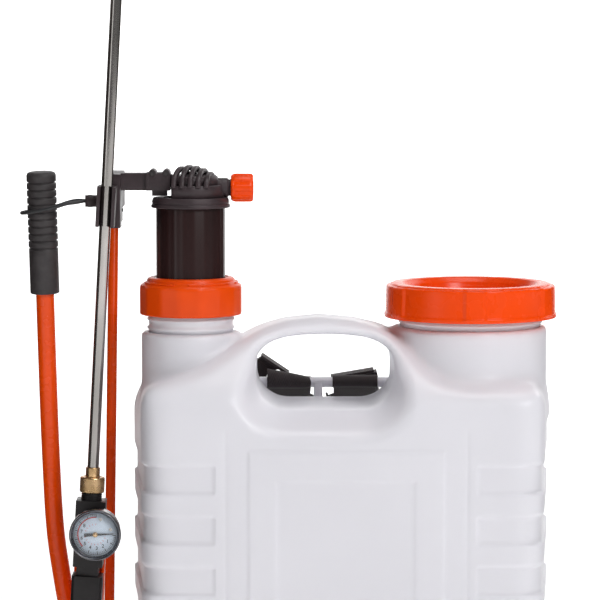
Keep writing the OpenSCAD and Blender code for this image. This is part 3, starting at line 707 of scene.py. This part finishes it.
def surface_net(field, lines):
    """Quads around the field's zero level on a grid with its own spacing along each axis."""
    d = field(*np.meshgrid(*lines, indexing="ij"))
    cells = tuple(n - 1 for n in d.shape)
    total, count = np.zeros(cells + (3,)), np.zeros(cells)
    crossings = []
    for axis in range(3):
        first, second = [slice(None)] * 3, [slice(None)] * 3
        first[axis], second[axis] = slice(0, -1), slice(1, None)
        a, b = d[tuple(first)], d[tuple(second)]
        cross = (a < 0) != (b < 0)
        at = np.argwhere(cross)
        share = (a[cross] / (a[cross] - b[cross]))
        place = np.stack([lines[k][at[:, k]] for k in range(3)], 1)
        place[:, axis] += share * (lines[axis][at[:, axis] + 1] - lines[axis][at[:, axis]])
        p, q = [k for k in range(3) if k != axis]
        around = []
        for back_p, back_q in ((0, 0), (1, 0), (1, 1), (0, 1)):
            cell = at.copy()
            cell[:, p] -= back_p
            cell[:, q] -= back_q
            around.append(cell)
            np.add.at(total, tuple(cell.T), place)
            np.add.at(count, tuple(cell.T), 1)
        crossings.append(around)
    number = np.full(cells, -1)
    used = np.argwhere(count > 0)
    number[tuple(used.T)] = np.arange(len(used))
    points = total[count > 0] / count[count > 0][:, None]
    quads = np.vstack([np.stack([number[tuple(c.T)] for c in around], 1) for around in crossings])
    for _ in range(5):
        value = field(*points.T)
        slope = np.stack([(field(*(points + e).T) - field(*(points - e).T)) / 0.5 for e in np.eye(3) * 0.25], 1)
        move = -(value / np.maximum((slope ** 2).sum(1), 0.25))[:, None] * slope
        points += np.clip(move, -1.2, 1.2)
    return points, quads


def spaced(start, end, pitch, close=(), gap=1.3):
    """Grid lines at the pitch, with four closer ones around each of the close places."""
    lines = list(np.arange(start, end + pitch, pitch))
    for place in close:
        lines = [v for v in lines if abs(v - place) > gap * 2.4]
        lines += [place - 1.6 * gap, place - 0.55 * gap, place + 0.55 * gap, place + 1.6 * gap]
    return np.array(sorted(lines))


def make_tank():
    rib_edges = [325 - 44 * i - k for i in range(6) for k in (20, 44) if 325 - 44 * i - k > 62]
    # finer grid lines at the edges of the flanks, creases, frame and label
    lines = [spaced(-200, 200, 4.4, (-110.7, -101, -81, -57, 62, 87, 107, 115.7), 1.0),
             spaced(-102, 102, 4.2), spaced(52, 330, 5.2, (318, 292, *rib_edges), 1.1)]
    lines[2] = np.concatenate([lines[2][lines[2] < 326], np.arange(326, 458, 3.6)])
    points, quads = surface_net(tank_field, lines)
    mesh = outward(mesh_of("tank_body", points, quads.tolist()))
    extra = []
    for at, r, bore, bottom, top, heights in ((PUMP, 37.1, 34.8, 408, 451, (417.0, 424.5)),
                                              (FILLER, 62.0, 59.6, 413, 446.3, (422.5,))):
        outline = [(bore, bottom), (r, bottom)]
        for h in heights:
            outline += [(r, h - 1.8), (r + 1.4, h - 0.7), (r + 1.4, h + 0.7), (r, h + 1.8)]
        outline += [(r, top - 1), (r - 0.6, top), (bore, top), (bore, bottom)]
        extra.append(lathe("collar", outline, Matrix.Translation((at.x, 0, 0)), 128))
    extra.append(lathe("bar", rounded([(0, -61.5), (4.6, -61.5), (4.6, 61.5), (0, 61.5)], 2.0, 3),
                       facing((1, 0, 0), (-15.5, 72, 359.3)), 32))
    extra.append(block("post", (7.8, 10, 26), (-20.6, 72, 347), 1.2))
    finish("tank_body", joined("tank_body", mesh, *extra), "tank_plastic", "tank_shell")


# ---------------------------------------------------------------- stand, straps

def make_stand():
    softened("base_stand", "stand_plastic", width=1.6, segments=3)
    softened("strap_hooks", "black_plastic", width=1.0)
    softened("shaft_bushes", "white_plastic", width=0.5)
    softened("base_screws", "steel", width=0.4)


def splay(x):
    """Places a strap's side-on route at x, leaning away from the middle."""
    return Matrix.Translation((x, 0, 346)) @ Matrix.Rotation(
        math.radians(15.6 if x < -18 else -15.6), 4, "Y") @ Matrix.Translation((0, 0, -346))


def tape(name, route, width, thick, matrix):
    """Webbing: a flat band with rounded edges along a side-on route of (y, z) points."""
    path = [matrix @ Vector((0, y, z)) for y, z in route]
    path = smooth_line(path, 8)
    h, t = width / 2, thick / 2
    outline = [(-h, -t * 0.5), (-h + 0.6, -t), (h - 0.6, -t), (h, -t * 0.5), (h, t * 0.5), (h - 0.6, t),
               (-h + 0.6, t), (-h, t * 0.5)]
    return sweep(name, path, outline, across=matrix.to_3x3() @ Vector((1, 0, 0)))


BAR_Y, BAR_Z = 72, 359.3
BAR_ROUTE = [(BAR_Y + 1, BAR_Z + 5.2), (BAR_Y + 8, BAR_Z + 4.2), (BAR_Y + 16, BAR_Z - 0.6), (102, 347.5), (112, 339)]
# stations along the bar: x, middle height and half height
ROLLS = {"left": [(-66.8, 362.6, 9.1), (-56, 361.6, 8.1), (-42, 360.3, 6.8), (-31.5, 359.2, 5.6), (-28.2, 359.0, 4.9),
                  (-27, 359.0, 3.4)],
         "right": [(-7.5, 360.1, 5.7), (0, 360.2, 5.6), (13, 360.2, 5.6), (26, 360.1, 5.6), (33.3, 360.1, 5.7)]}
# loose ends: outlines of (x, z) points, and where each starts and stops in depth
ENDS = {"left": [([(-71.6, 383), (-46.9, 366.4), (-48.3, 364.6), (-72.8, 380.8)], 78, 104),
                 ([(-79, 362.7), (-77.6, 377.5), (-72.6, 380.3), (-57, 369.6), (-66.7, 367), (-67.4, 362.7)], 84, 98)],
        "right": [([(-8.9, 363.2), (8, 364), (30.5, 367.8), (29.9, 369.8)], 77, 102),
                  ([(9.6, 363), (33.1, 367.4), (34.3, 362.4)], 80, 106)]}
STRAP_ROUTE = [(110, 341), (122, 330), (140, 306), (150, 280), (153, 250), (150, 222), (149, 206)]
LOWER_ROUTE = [(149, 198), (146, 184), (140, 166), (130, 136), (118, 100), (109, 70), (104, 48)]
PAD_ROUTE = [(119, 346), (140, 328), (156, 303), (164, 275), (165, 248), (160, 220)]


def roll(stations, count=40):
    """Webbing wound on the bar: a flat tube with its own middle and height at each station."""
    turns = [2 * math.pi * k / count for k in range(count)]
    mesh = stacked("roll", [[(x, BAR_Y + (half * 0.4 + 3.8) * math.cos(a), z + half * math.sin(a)) for a in turns]
                            for x, z, half in stations])

    def around(face, vertex, co):
        turn = vertex % count + (count if face.index % count == count - 1 and not vertex % count else 0)
        return co.x, turn / count * 0.035

    unwrap(mesh, around)
    return outward(mesh)


def prism(outline, start, end):
    """A closed slab with the (x, z) outline, from start to end in depth."""
    mesh = stacked("end", [[(x, y, z) for x, z in outline] for y in (start, end)])
    unwrap(mesh, lambda face, vertex, co: (co.y + co.z, co.x))
    return outward(mesh)


def make_straps():
    for side, x in (("left", -46), ("right", 11)):
        tilt = Matrix.Translation((x + (0 if x < -18 else 2), 0, BAR_Z)) @ Matrix.Rotation(
            math.radians(4.5 if x < -18 else -1.5), 4, "Y") @ Matrix.Translation((0, 0, -BAR_Z))
        parts = [tape("band", BAR_ROUTE, 39, 2.4, tilt), tape("band", STRAP_ROUTE, 40, 2.4, splay(x)),
                 tape("band", LOWER_ROUTE, 25, 2.0, splay(x)), roll(ROLLS[side])]
        parts += [prism(*end) for end in ENDS[side]]
        finish("strap_web_" + side, joined("strap_web_" + side, *parts), "webbing", "strap_" + side, False)
        softened("buckle_" + side, "black_plastic", width=1.0)


def pad_block(x):
    """The pad's plain volume, before it is filled: a flat bar along its route."""
    path = smooth_line([splay(x) @ Vector((0, y, z)) for y, z in PAD_ROUTE], 6)
    h, t = 25.5, 5.2
    outline = [(-h, -t * 0.6), (-h + 2, -t), (h - 2, -t), (h, -t * 0.6), (h, t * 0.6), (h - 2, t), (-h + 2, t),
               (-h, t * 0.6)]
    return sweep("pad", path, outline, across=splay(x).to_3x3() @ Vector((1, 0, 0)))


def filled(piece, pressure=4.0, frames=20, reach=1.6):
    """Inflates a closed mesh as cloth for a few frames, then keeps the shape."""
    remesh = piece.modifiers.new("even", "REMESH")
    remesh.mode, remesh.voxel_size = "VOXEL", 0.005
    mesh = evaluated(piece)
    piece.modifiers.remove(remesh)
    piece.data = mesh
    start = np.array([v.co for v in mesh.vertices])
    cloth = piece.modifiers.new("fill", "CLOTH")
    cloth.settings.use_pressure = True
    cloth.settings.uniform_pressure_force = pressure
    cloth.settings.effector_weights.gravity = 0.0
    cloth.settings.quality = 6
    cloth.point_cache.frame_start, cloth.point_cache.frame_end = 1, frames
    scene = bpy.context.scene
    for frame_number in range(1, frames + 1):
        scene.frame_set(frame_number)
    end = np.array([v.co for v in evaluated(piece).vertices])
    piece.modifiers.remove(cloth)
    scene.frame_set(1)
    move = end - start
    far = np.linalg.norm(move, axis=1)
    top = reach * MM
    move *= (np.minimum(far, top) / np.maximum(far, 1e-9))[:, None]
    for vertex, co in zip(mesh.vertices, start + move):
        vertex.co = co
    smooth = piece.modifiers.new("round", "SUBSURF")
    smooth.levels = smooth.render_levels = 1
    final = evaluated(piece)
    piece.modifiers.remove(smooth)
    piece.data = final


def make_pads():
    for side, x in (("left", -46), ("right", 11)):
        piece = link("strap_pad_" + side, pad_block(x), "pad_cloth", "tank")
        filled(piece)
        piece.data.materials.clear()
        piece.data.materials.append(material("pad_cloth"))
        piece.data.shade_smooth()
        unwrap(piece.data, lambda face, vertex, co: (co.x, co.z))
        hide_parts("pad_" + side)
        binding = []
        for edge in (-23.4, 23.4):
            path = smooth_line([splay(x) @ Vector((edge, y + 5.4, z + 3.2)) for y, z in PAD_ROUTE], 5)
            binding.append(sweep("binding", path, circle(1.1, 8)))
        link("pad_seam_" + side, joined("pad_seam_" + side, *binding), "stitch", "tank")


# ---------------------------------------------------------------- pump

def make_nut():
    n = bpy.context.scene.sprayer_pump
    r, flats = n.nut_radius / MM, n.nut_facets
    at = Matrix.Translation((PUMP.x, 0, 0))

    def faceted(angle, radius, height):
        if radius < r - 4 or height > 453.6:
            return radius
        turn = 2 * math.pi / flats
        off = (angle + turn / 2) % turn - turn / 2
        return radius * (0.988 / max(math.cos(off), 0.988))

    outer = rounded([(38.6, 428.2), (r - 1.2, 428.2), (r, 429.4), (r, 452.4), (r - 0.7, 454.4), (39.6, 457.4),
                     (38.8, 458.0), (38.4, 460.0), (36.6, 461.2), (33.4, 461.6), (33.0, 460.6), (31.2, 460.2),
                     (31.2, 452), (38.6, 452), (38.6, 428.2)], 0.9, 3)
    nut = lathe("nut", outer, at, 192, faceted)
    arcs = []
    for a0, a1 in ((-2.9, -1.9), (-1.6, -0.6), (-0.3, 0.9), (1.3, 2.6)):
        path = [Vector((PUMP.x + 41.2 * math.cos(a), 41.2 * math.sin(a), 456.9))
                for a in np.linspace(a0, a1, 24)]
        arcs.append(sweep("arc", path, circle(0.8, 10), across=(0, 0, 1)))
    finish("guide_nut_finish", joined("guide_nut_finish", nut, *arcs), "nut_plastic", "guide_nut")


def make_chamber():
    at = Matrix.Translation((PUMP.x, 0, 0))

    def fluted(angle, radius, height):
        return radius + 0.22 * math.cos(angle * 22) if radius > 30 and height > 236 else radius

    body = lathe("chamber", rounded([(7, 214.2), (30.3, 214.2), (30.3, 216), (28.2, 216), (28.2, 220), (30.3, 220),
                                     (30.3, 522.9), (28.1, 522.9), (28.1, 221), (7, 221), (7, 214.2)], 0.5, 2),
                 at, 132, fluted)
    finish("chamber_finish", body, "chamber_plastic", "air_chamber")
    ring = lathe("flange", rounded([(30.9, 522.6), (34.2, 522.6), (34.9, 523.6), (34.6, 525.4), (33.7, 526.0),
                                    (33.6, 526.8), (34.2, 527.4), (33.6, 530.0), (32.8, 531.6), (24, 531.8),
                                    (24, 524), (30.9, 523.8), (30.9, 522.6)], 0.6, 3), at, 128)
    link("flange_rings", ring, "black_plastic", "air_pump")
    parts = [skirt(531.4, 542.8, 30.2, 28.6), skirt(541, 551.0, 26.0, 23.0)]
    tops = ((-141.2, 558.8), (-134.8, 560.0), (-128.5, 559.2), (-122.3, 557.2), (-116.2, 554.0))
    for k, (x, top) in enumerate(tops):
        lean = 6.2 - 0.85 * k
        reach = min(28.6, math.sqrt(29.4 ** 2 - (x - lean - PUMP.x) ** 2) + 0.6)
        path = [Vector((x + lean * math.sin(a), reach * math.sin(a), 540.8 + (top - 542) * math.cos(a)))
                for a in np.linspace(-math.pi / 2, math.pi / 2, 28)]
        parts.append(sweep("rib", path, [(-2.2, -2.4), (2.2, -2.4), (2.3, 0.2), (1.5, 1.2), (-1.5, 1.2), (-2.3, 0.2)],
                           across=(1, 0, 0)))
    outlet = facing((1, 0, 0), (PUMP.x, 0, 540))
    parts.append(lathe("outlet", rounded([(3.1, 12), (8.6, 12), (8.6, 32.6), (7.4, 33.4), (7.3, 35.0), (4.6, 35.1),
                                          (4.6, 54.8), (3.1, 54.8), (3.1, 12)], 0.5, 2), outlet, 48))
    parts.append(block("cheek", (17, 15, 15.6), (PUMP.x + 21, 0, 539.8), 3.0))
    finish("chamber_cover", joined("chamber_cover", *parts), "black_plastic", "chamber_cap")


def skirt(bottom, top, r0, r1, cut=-16.2, count=72):
    """A low round wall under the dome, cut flat towards the bracket."""
    turns = [2 * math.pi * k / count for k in range(count)]
    return outward(stacked("skirt", [[(PUMP.x + max(r * math.cos(a), cut), r * math.sin(a), h) for a in turns]
                                     for h, r in ((bottom, r0), (top - 1.2, (r0 + 2 * r1) / 3), (top, r1 - 0.6))]))


def make_bracket():
    softened("pump_bracket", "black_plastic", width=1.0, segments=3)
    softened("bracket_screws", "dark_steel", width=0.4)
    path = smooth_line([(-224.2, -32.6, 530.4), (-232, -35, 529), (-240, -37, 528), (-250, -38, 525),
                        (-262, -36.5, 522), (-274, -31, 520), (-280, -22, 519), (-279, -11, 519), (-270, -3.5, 520),
                        (-258, -3, 522), (-248, -8, 525), (-240, -16, 528), (-232, -25, 530), (-224.2, -29.6, 530)], 5)
    # the loop stays on the grip when the lever swings out
    cord = link("tie_cord", sweep("tie_cord", path, circle(1.7, 12)), "seal_rubber", "pump_lever")
    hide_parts("tie_loop")
    knob = lathe("knob", rounded([(0, -0.8), (4.2, -0.6), (5.6, 2.0), (5.4, 5.0), (3.6, 10.5), (0, 10.6)], 1.2, 3),
                 facing((1, 0, 0), (-223.2, -31, 530)), 32)
    link("tie_knob", knob, "black_plastic", "air_pump")


def make_hose_nut():
    at = facing((1, 0, 0), (-98, 0, 540))

    def lobed(angle, radius, height):
        if radius < 10:
            return radius
        turn = 2 * math.pi / 8
        off = abs((angle + turn / 2) % turn - turn / 2) * radius
        return radius - 1.1 * float(step(np.array(off), 2.0, 3.2)) * float(step(np.array(height), 1.6, 3.2))

    mesh = lathe("nut", [(6.5, 0.2), (10.6, 0.2), (11.7, 1.4), (12.1, 2.6), (12.3, 3.4), (12.5, 4.4), (12.5, 17.0),
                         (12.2, 18.6), (11.2, 19.6), (9.8, 20), (6.5, 20), (6.5, 0.2)], at, 192, lobed)
    finish("hose_nut_finish", mesh, "orange_plastic", "hose_nut")


# ---------------------------------------------------------------- lever

LEVER_PATH = [(-229, -10, 58), (-229, -10, 67), (-229.6, -7, 80), (-232, -1, 98), (-236, 2, 120), (-241, 4, 148),
              (-246, 4, 174), (-250.5, 4, 202), (-254, 3, 228), (-256, 1, 256), (-257.3, -2, 290), (-258.5, -6, 330),
              (-259.7, -9, 380), (-260.8, -12, 430), (-261.4, -15, 470), (-262.3, -18, 520), (-262.8, -19.4, 541)]
GRIP_BASE, GRIP_TIP = Vector((-261.2, -13, 448)), Vector((-263.3, -20.5, 555))


def make_lever():
    tube = sweep("lever_paint", smooth_line(LEVER_PATH, 5), circle(8, 36))
    finish("lever_bar", tube, "lever_paint", "lever_tube")
    softened("lever_hub", "lever_paint", width=0.8)
    softened("crank_arm", "lever_paint", width=0.8)
    softened("link_rod", "lever_paint", width=0.5)
    g = bpy.context.scene.sprayer_lever
    r, length = g.grip_radius / MM, (GRIP_TIP - GRIP_BASE).length
    profile = [(8.2, 0.1), (r - 0.8, 0.1), (r - 0.2, 0.8), (r - 0.2, 38)]
    pitch = g.ring_pitch / MM
    for k in range(g.ring_count):
        h = 40 + k * pitch
        profile += [(r - 0.2, h - 0.35), (r - 1.3, h), (r - 1.3, h + 0.8), (r - 0.3, h + 1.2), (r, h + 1.7),
                    (r, h + pitch - 0.9)]
    top = length
    profile = [p for p in profile if p[1] < top - 3.4] + [(r, top - 3.2), (r - 0.4, top - 1.6), (r - 1.6, top - 0.5),
                                                         (r - 3.4, top), (0, top)]
    grip = lathe("grip", profile, facing(GRIP_TIP - GRIP_BASE, GRIP_BASE), 96)
    finish("grip_sleeve", grip, "grip_rubber", "lever_grip")


# ---------------------------------------------------------------- spray gun

def knurled(angle, radius, height):
    """Crossed ridges cut into the widest part of a nut."""
    if radius < 10:
        return radius
    a = math.cos(angle * 48 + height * 3.6) + math.cos(angle * 48 - height * 3.6)
    return radius + 0.11 * a


def make_gun():
    softened("gun_valve_body", "gun_plastic", width=1.4, segments=3)
    softened("gun_handle", "gun_plastic", width=1.2, segments=3)
    softened("gun_trigger", "orange_plastic", width=0.7)
    softened("trigger_pin", "steel", width=0.3)
    softened("valve_stem", "brass", width=0.4)
    coil = [in_gun(4.4 * math.cos(t), 12.6 + 11 * t / (12 * math.pi), -79 + 4.4 * math.sin(t))
            for t in np.linspace(0, 12 * math.pi, 160)]
    finish("return_coil", sweep("coil", coil, circle(0.55, 8)), "steel", "valve_spring")
    top = bpy.context.scene.sprayer_gun.lance_length / MM
    tube = lathe("lance", rounded([(3.6, -16), (5, -16), (5, top), (3.6, top), (3.6, -16)], 0.3, 2), GUN, 48)
    finish("lance_finish", tube, "steel", "lance_tube")
    collar = lathe("collar", rounded([(5.05, -19), (6.2, -19), (6.2, 2.0), (5.8, 2.6), (5.05, 2.6), (5.05, -19)],
                                     0.3, 2), GUN, 64)
    finish("collar_finish", collar, "brass", "lance_collar")
    dense = [(6.35, -19.5), (9.8, -19.5), (10.5, -18.9)] + [(10.6, h) for h in np.arange(-18.4, -7.0, 0.35)] + [
        (10.5, -6.4), (9.9, -5.9), (6.35, -5.9), (6.35, -19.5)]
    nut = lathe("nut", dense, GUN, 240, knurled)
    finish("union_nut_finish", nut, "brass", "lance_nut")
    threads = [(6.3, -26.2)]
    for k in range(4):
        threads += [(8.9, -26 + k * 1.5), (9.2, -25.5 + k * 1.5), (8.4, -24.9 + k * 1.5)]
    threads += [(6.3, -19.9), (6.3, -26.2)]
    link("valve_thread", lathe("thread", threads, GUN, 64), "gun_plastic", "spray_gun")
    for node, paint in (("hose_tail", "brass"), ("gun_hose_nut", "orange_plastic"), ("nozzle_body", "gun_plastic"),
                        ("nozzle_cap", "orange_plastic")):
        softened(node, paint, width=0.6, segments=3)


def make_gauge():
    plate = middle("gauge_dial") - GUN_AT
    face = GUN @ Matrix.Translation((plate.dot(GUN_X), -46, plate.dot(GUN_AXIS))) @ Matrix.Rotation(
        math.radians(90), 4, "X")
    body = "spray_gun"
    bezel = lathe("bezel", rounded([(19.0, -6.9), (22.3, -6.9), (22.3, -1.8), (21.9, -0.4), (21.2, 0), (20.4, -0.6),
                                    (19.6, -2.2), (19.0, -6.9)], 0.4, 3), face, 128)
    finish("gauge_ring", bezel, "gauge_metal", "gauge_bezel")
    case = lathe("case", rounded([(7.2, -27.4), (19.4, -27.4), (20.7, -26.2), (20.7, -3.2), (19.1, -3.2),
                                  (19.1, -7.8), (7.2, -7.8), (7.2, -27.4)], 0.8, 3), face, 96)
    finish("gauge_drum", case, "gauge_metal", "gauge_case")
    plate = lathe("plate", [(0, -7.5), (18.9, -7.5), (18.9, -6.5), (0, -6.5)], face, 96)
    finish("gauge_plate", plate, "dial_face", "gauge_dial")
    turn = -math.radians(270)
    g = bpy.context.scene.sprayer_gun
    print_level = face @ Matrix.Translation((0, 0, -6.42))

    def marks(name, count, radius, size, paint, sweep_angle=turn, begin=0.0):
        return ring_of(name, block("tick", (*size, 0.16)), count + 1, radius, paint, print_level, begin,
                       sweep_angle * (count + 1) / count)

    black = [marks("major", g.dial_divisions, 16.2, (3.0, 0.6), "dial_black"),
             marks("minor", g.dial_divisions * 5, 16.6, (1.7, 0.24), "dial_black"),
             marks("outer", 200, 17.7, (0.25, 0.6), "dial_black")]
    for k in range(1, 9):
        angle = turn * k / g.dial_divisions
        text = bpy.data.curves.new("figure", "FONT")
        text.body, text.size, text.align_x, text.align_y = str(k), 4.2 * MM, "CENTER", "CENTER"
        text.extrude, text.offset = 0.08 * MM, 0.06 * MM
        holder = bpy.data.objects.new("figure", text)
        bpy.context.scene.collection.objects.link(holder)
        figure = evaluated(holder)
        bpy.data.objects.remove(holder)
        at = Matrix.Translation((12.1 * math.cos(angle), 12.1 * math.sin(angle), 0))
        black.append(moved(figure, print_level @ at))
    link("dial_marks", joined("dial_marks", *black), "dial_black", body, False)
    red = [marks("arc", 60, 15.0, (1.0, 0.85), "dial_red", math.radians(135), math.radians(90)),
           marks("inner", 15, 8.8, (1.5, 0.3), "dial_red")]
    link("dial_red_marks", joined("dial_red_marks", *red), "dial_red", body, False)
    hand = [(-9.5, -1.5), (-9.5, 1.5), (0, 1.1), (16.0, 0.3), (16.0, -0.3), (0, -1.1)]
    tilt = math.radians(6)
    rings = [[(x * math.cos(tilt) - y * math.sin(tilt), x * math.sin(tilt) + y * math.cos(tilt), h)
              for x, y in hand] for h in (-5.2, -4.7)]
    needle = outward(stacked("needle", rings, face))
    hub = lathe("hub", [(0, -5.4), (2.2, -5.4), (2.2, -4.2), (1.5, -3.8), (0, -3.7)], face, 32)
    finish("needle", needle, "dial_black", "gauge_pointer", False)
    link("needle_hub", hub, "brass", NODES["gauge_pointer"]["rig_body"])
    pane = lathe("pane", [(0, -2.4), (18.9, -2.4), (18.9, -1.2), (0, -1.0)], face, 96)
    finish("gauge_glass", pane, "lens_glass", "gauge_lens")


# ---------------------------------------------------------------- filler cap

def make_cap():
    at = Matrix.Translation((FILLER.x, 0, high("filler_cap").z - 459))
    c = bpy.context.scene.sprayer_cap
    lugs, r = c.lug_count, c.radius / MM

    def lugged(angle, radius, height):
        if radius < r - 7 or height > 458.6:
            return radius
        turn = 2 * math.pi / lugs
        off = abs((angle + math.pi / 2 + turn / 2) % turn - turn / 2) * r
        return radius + 1.7 * float(1 - step(np.array(off), 8.4, 10.2)) * float(step(np.array(height), 430.5, 432.5))

    profile = rounded([(63.6, 429.1), (r - 0.2, 429.1), (r, 430.2), (r - 0.1, 432.4), (r - 1.0, 433.4),
                       (r - 1.6, 455.4), (r - 1.9, 456.7), (r - 3.0, 457.3), (r - 5.2, 457.4), (r - 6.0, 458.6),
                       (r - 7.4, 459), (61, 459), (59.4, 458.2), (56, 454.6), (53.6, 448), (51.4, 445.2),
                       (8, 444.9), (0, 444.9)], 0.9, 3)
    shell = lathe("cap", profile, at, 288, lugged)
    under = lathe("under", [(63.6, 429.1), (63.4, 452), (55, 452), (54.4, 441), (0, 441)], at, 96)
    finish("cap_finish", outward(joined("cap_finish", shell, under)), "orange_plastic", "filler_cap")


# ---------------------------------------------------------------- stage

def staged(name, data):
    """A new object that isn't part of the sprayer."""
    made = bpy.data.objects.new(name, data)
    bpy.context.scene.collection.objects.link(made)
    return made


def screen(name, paint, corners):
    """A flat sheet of the stage, its corners in metres."""
    sheet = staged(name, mesh_of(name, [Vector(c) * 1000 for c in corners], [(0, 1, 3, 2)]))
    sheet.data.materials.append(material(paint))
    return sheet


def make_stage():
    """A white floor and wall, dark flags at the sides that the camera doesn't see, lamps and the camera."""
    scene = bpy.context.scene
    world = bpy.data.worlds.new("studio")
    scene.world = world
    world.use_nodes = True
    world.node_tree.nodes["Background"].inputs[0].default_value = (1, 1, 1, 1)
    world.node_tree.nodes["Background"].inputs[1].default_value = 0.2
    size, back = 16.0, 12.0
    for name, rows in (("floor", ((-size, 0.0), (back, 0.0))), ("wall", ((back, -0.5), (back, 7.0)))):
        screen(name, name + "_paint", [(s * size, y, z) for y, z in rows for s in (-1, 1)])
    # the flags keep the glow of the floor and wall off the tank's sides, and cast no lamp's shadow
    flags = bpy.data.collections.new("flags")
    for name, x, start, end in (("flag_left", -0.62, -0.32, 1.5), ("flag_right", 0.72, 0.1, 1.2)):
        flag = screen(name, "flag_cloth", [(x, y, z) for y in (start, end) for z in (0, 1.25)])
        flag.visible_camera = False
        flags.objects.link(flag)
    for name, place, size, power in (("key", (1.5, -2.4, 2.3), 1.0, 46), ("fill", (-2.3, -2.0, 0.9), 0.9, 4),
                                     ("top", (0.3, -0.1, 2.6), 1.2, 21), ("rim", (1.8, 2.0, 1.9), 1.0, 10),
                                     ("rim_left", (-2.2, 1.6, 1.4), 1.0, 3)):
        lamp = bpy.data.lights.new(name, "AREA")
        lamp.size, lamp.energy = size, power
        holder = staged(name, lamp)
        holder.location = place
        holder.rotation_euler = (Vector((0, 0, 0.32)) - Vector(place)).to_track_quat("-Z", "Y").to_euler()
        holder.light_linking.blocker_collection = flags
    for item in flags.collection_objects:
        item.light_linking.link_state = "EXCLUDE"
    camera = bpy.data.cameras.new("view")
    camera.lens, camera.sensor_width, camera.clip_end = 187.5, 36.0, 60.0
    scene.camera = staged("view", camera)
    scene.camera.location = (-0.037, -2.75, 0.687)
    scene.camera.rotation_euler = (math.radians(90 - 5.12), 0, 0)
    scene.view_settings.view_transform = "Standard"


def paint_frame():
    """Gives every CAD node that stays visible the material of its slot."""
    by_slot = {"pad_fabric": "pad_cloth", "lens": "lens_glass", "pointer": "dial_black",
               "buckle_plastic": "black_plastic"}
    for name, node in NODES.items():
        slot = slot_of(name)
        node.data.materials.clear()
        node.data.materials.append(material(by_slot.get(slot, slot)))


# ---------------------------------------------------------------- add-on

def length(name, description, default):
    return FloatProperty(name=name, description=description, default=default, unit="LENGTH", subtype="DISTANCE")


def color(name, description, default):
    return FloatVectorProperty(name=name, description=description, default=default, subtype="COLOR")


class SprayerTank(bpy.types.PropertyGroup):
    rib_depth: length("Rib depth", "How far the ribs stand out", 0.0025)
    rib_pitch: length("Rib pitch", "Height from one rib to the next", 0.044)
    rib_height: length("Rib height", "Height of one rib", 0.020)


class SprayerPump(bpy.types.PropertyGroup):
    nut_radius: length("Nut radius", "Outer radius of the guide nut", 0.0453)
    nut_facets: IntProperty(name="Nut facets", description="Shallow flats around the guide nut", default=16)


class SprayerLever(bpy.types.PropertyGroup):
    grip_radius: length("Grip radius", "Outer radius of the grip", 0.013)
    ring_pitch: length("Ring pitch", "Height from one grip ring to the next", 0.0064)
    ring_count: IntProperty(name="Rings", description="Rings moulded into the grip", default=10)


class SprayerGun(bpy.types.PropertyGroup):
    lance_length: length("Lance length", "Length of the lance above its collar", 0.56)
    dial_divisions: IntProperty(name="Dial divisions", description="Numbered divisions of the gauge", default=10)


class SprayerCap(bpy.types.PropertyGroup):
    radius: length("Radius", "Outer radius of the filler cap", 0.076)
    lug_count: IntProperty(name="Lugs", description="Grip lugs around the cap", default=6)


class SprayerColors(bpy.types.PropertyGroup):
    tank: color("Tank", "Milky plastic", (0.73, 0.722, 0.765))
    orange: color("Orange", "Caps and nuts", (0.85, 0.06, 0.0))
    lever: color("Lever", "Painted tube", (0.84, 0.068, 0.0))


def operator(name, label, text, work):
    """An operator class that runs one builder."""
    def execute(self, context):
        work()
        return {"FINISHED"}
    return type("SPRAYER_OT_" + name, (bpy.types.Operator,), {
        "bl_idname": "sprayer." + name, "bl_label": label, "__doc__": text, "execute": execute})


OPERATORS = [operator(*row) for row in (
    ("paint", "Paint frame", "Give the packed pieces their materials", paint_frame),
    ("tank", "Tank", "Build the tank", make_tank),
    ("stand", "Stand", "Build the stand and its fittings", make_stand),
    ("straps", "Straps", "Build the webbing and buckles", make_straps),
    ("pads", "Pads", "Build the shoulder pads", make_pads),
    ("nut", "Guide nut", "Build the pump's guide nut", make_nut),
    ("chamber", "Chamber", "Build the air chamber and its cover", make_chamber),
    ("bracket", "Bracket", "Build the pump bracket and tie", make_bracket),
    ("outlet", "Outlet nut", "Build the hose outlet's nut", make_hose_nut),
    ("lever", "Lever", "Build the lever, its grip and linkage", make_lever),
    ("gun", "Spray gun", "Build the spray gun and lance", make_gun),
    ("gauge", "Gauge", "Build the pressure gauge", make_gauge),
    ("cap", "Filler cap", "Build the filler cap", make_cap),
    ("stage", "Stage", "Build the floor, lights and camera", make_stage),
)]


class SPRAYER_PT_panel(bpy.types.Panel):
    """Sizes, colours and builders of the sprayer."""
    bl_idname, bl_label = "SPRAYER_PT_panel", "Backpack sprayer"
    bl_space_type, bl_region_type, bl_category = "VIEW_3D", "UI", "Sprayer"

    def draw(self, context):
        for group in GROUPS:
            for key in GROUPS[group].__annotations__:
                self.layout.prop(getattr(context.scene, group), key)
        for cls in OPERATORS:
            self.layout.operator(cls.bl_idname)


GROUPS = {"sprayer_tank": SprayerTank, "sprayer_pump": SprayerPump, "sprayer_lever": SprayerLever,
          "sprayer_gun": SprayerGun, "sprayer_cap": SprayerCap, "sprayer_colors": SprayerColors}


def register():
    for cls in (*GROUPS.values(), *OPERATORS, SPRAYER_PT_panel):
        bpy.utils.register_class(cls)
    for name, cls in GROUPS.items():
        setattr(bpy.types.Scene, name, PointerProperty(type=cls))


def unregister():
    for name in GROUPS:
        delattr(bpy.types.Scene, name)
    for cls in reversed((*GROUPS.values(), *OPERATORS, SPRAYER_PT_panel)):
        bpy.utils.unregister_class(cls)


def main():
    register()
    for cls in OPERATORS:
        getattr(bpy.ops.sprayer, cls.bl_idname.split(".")[1])()


if __name__ == "__main__":
    main()
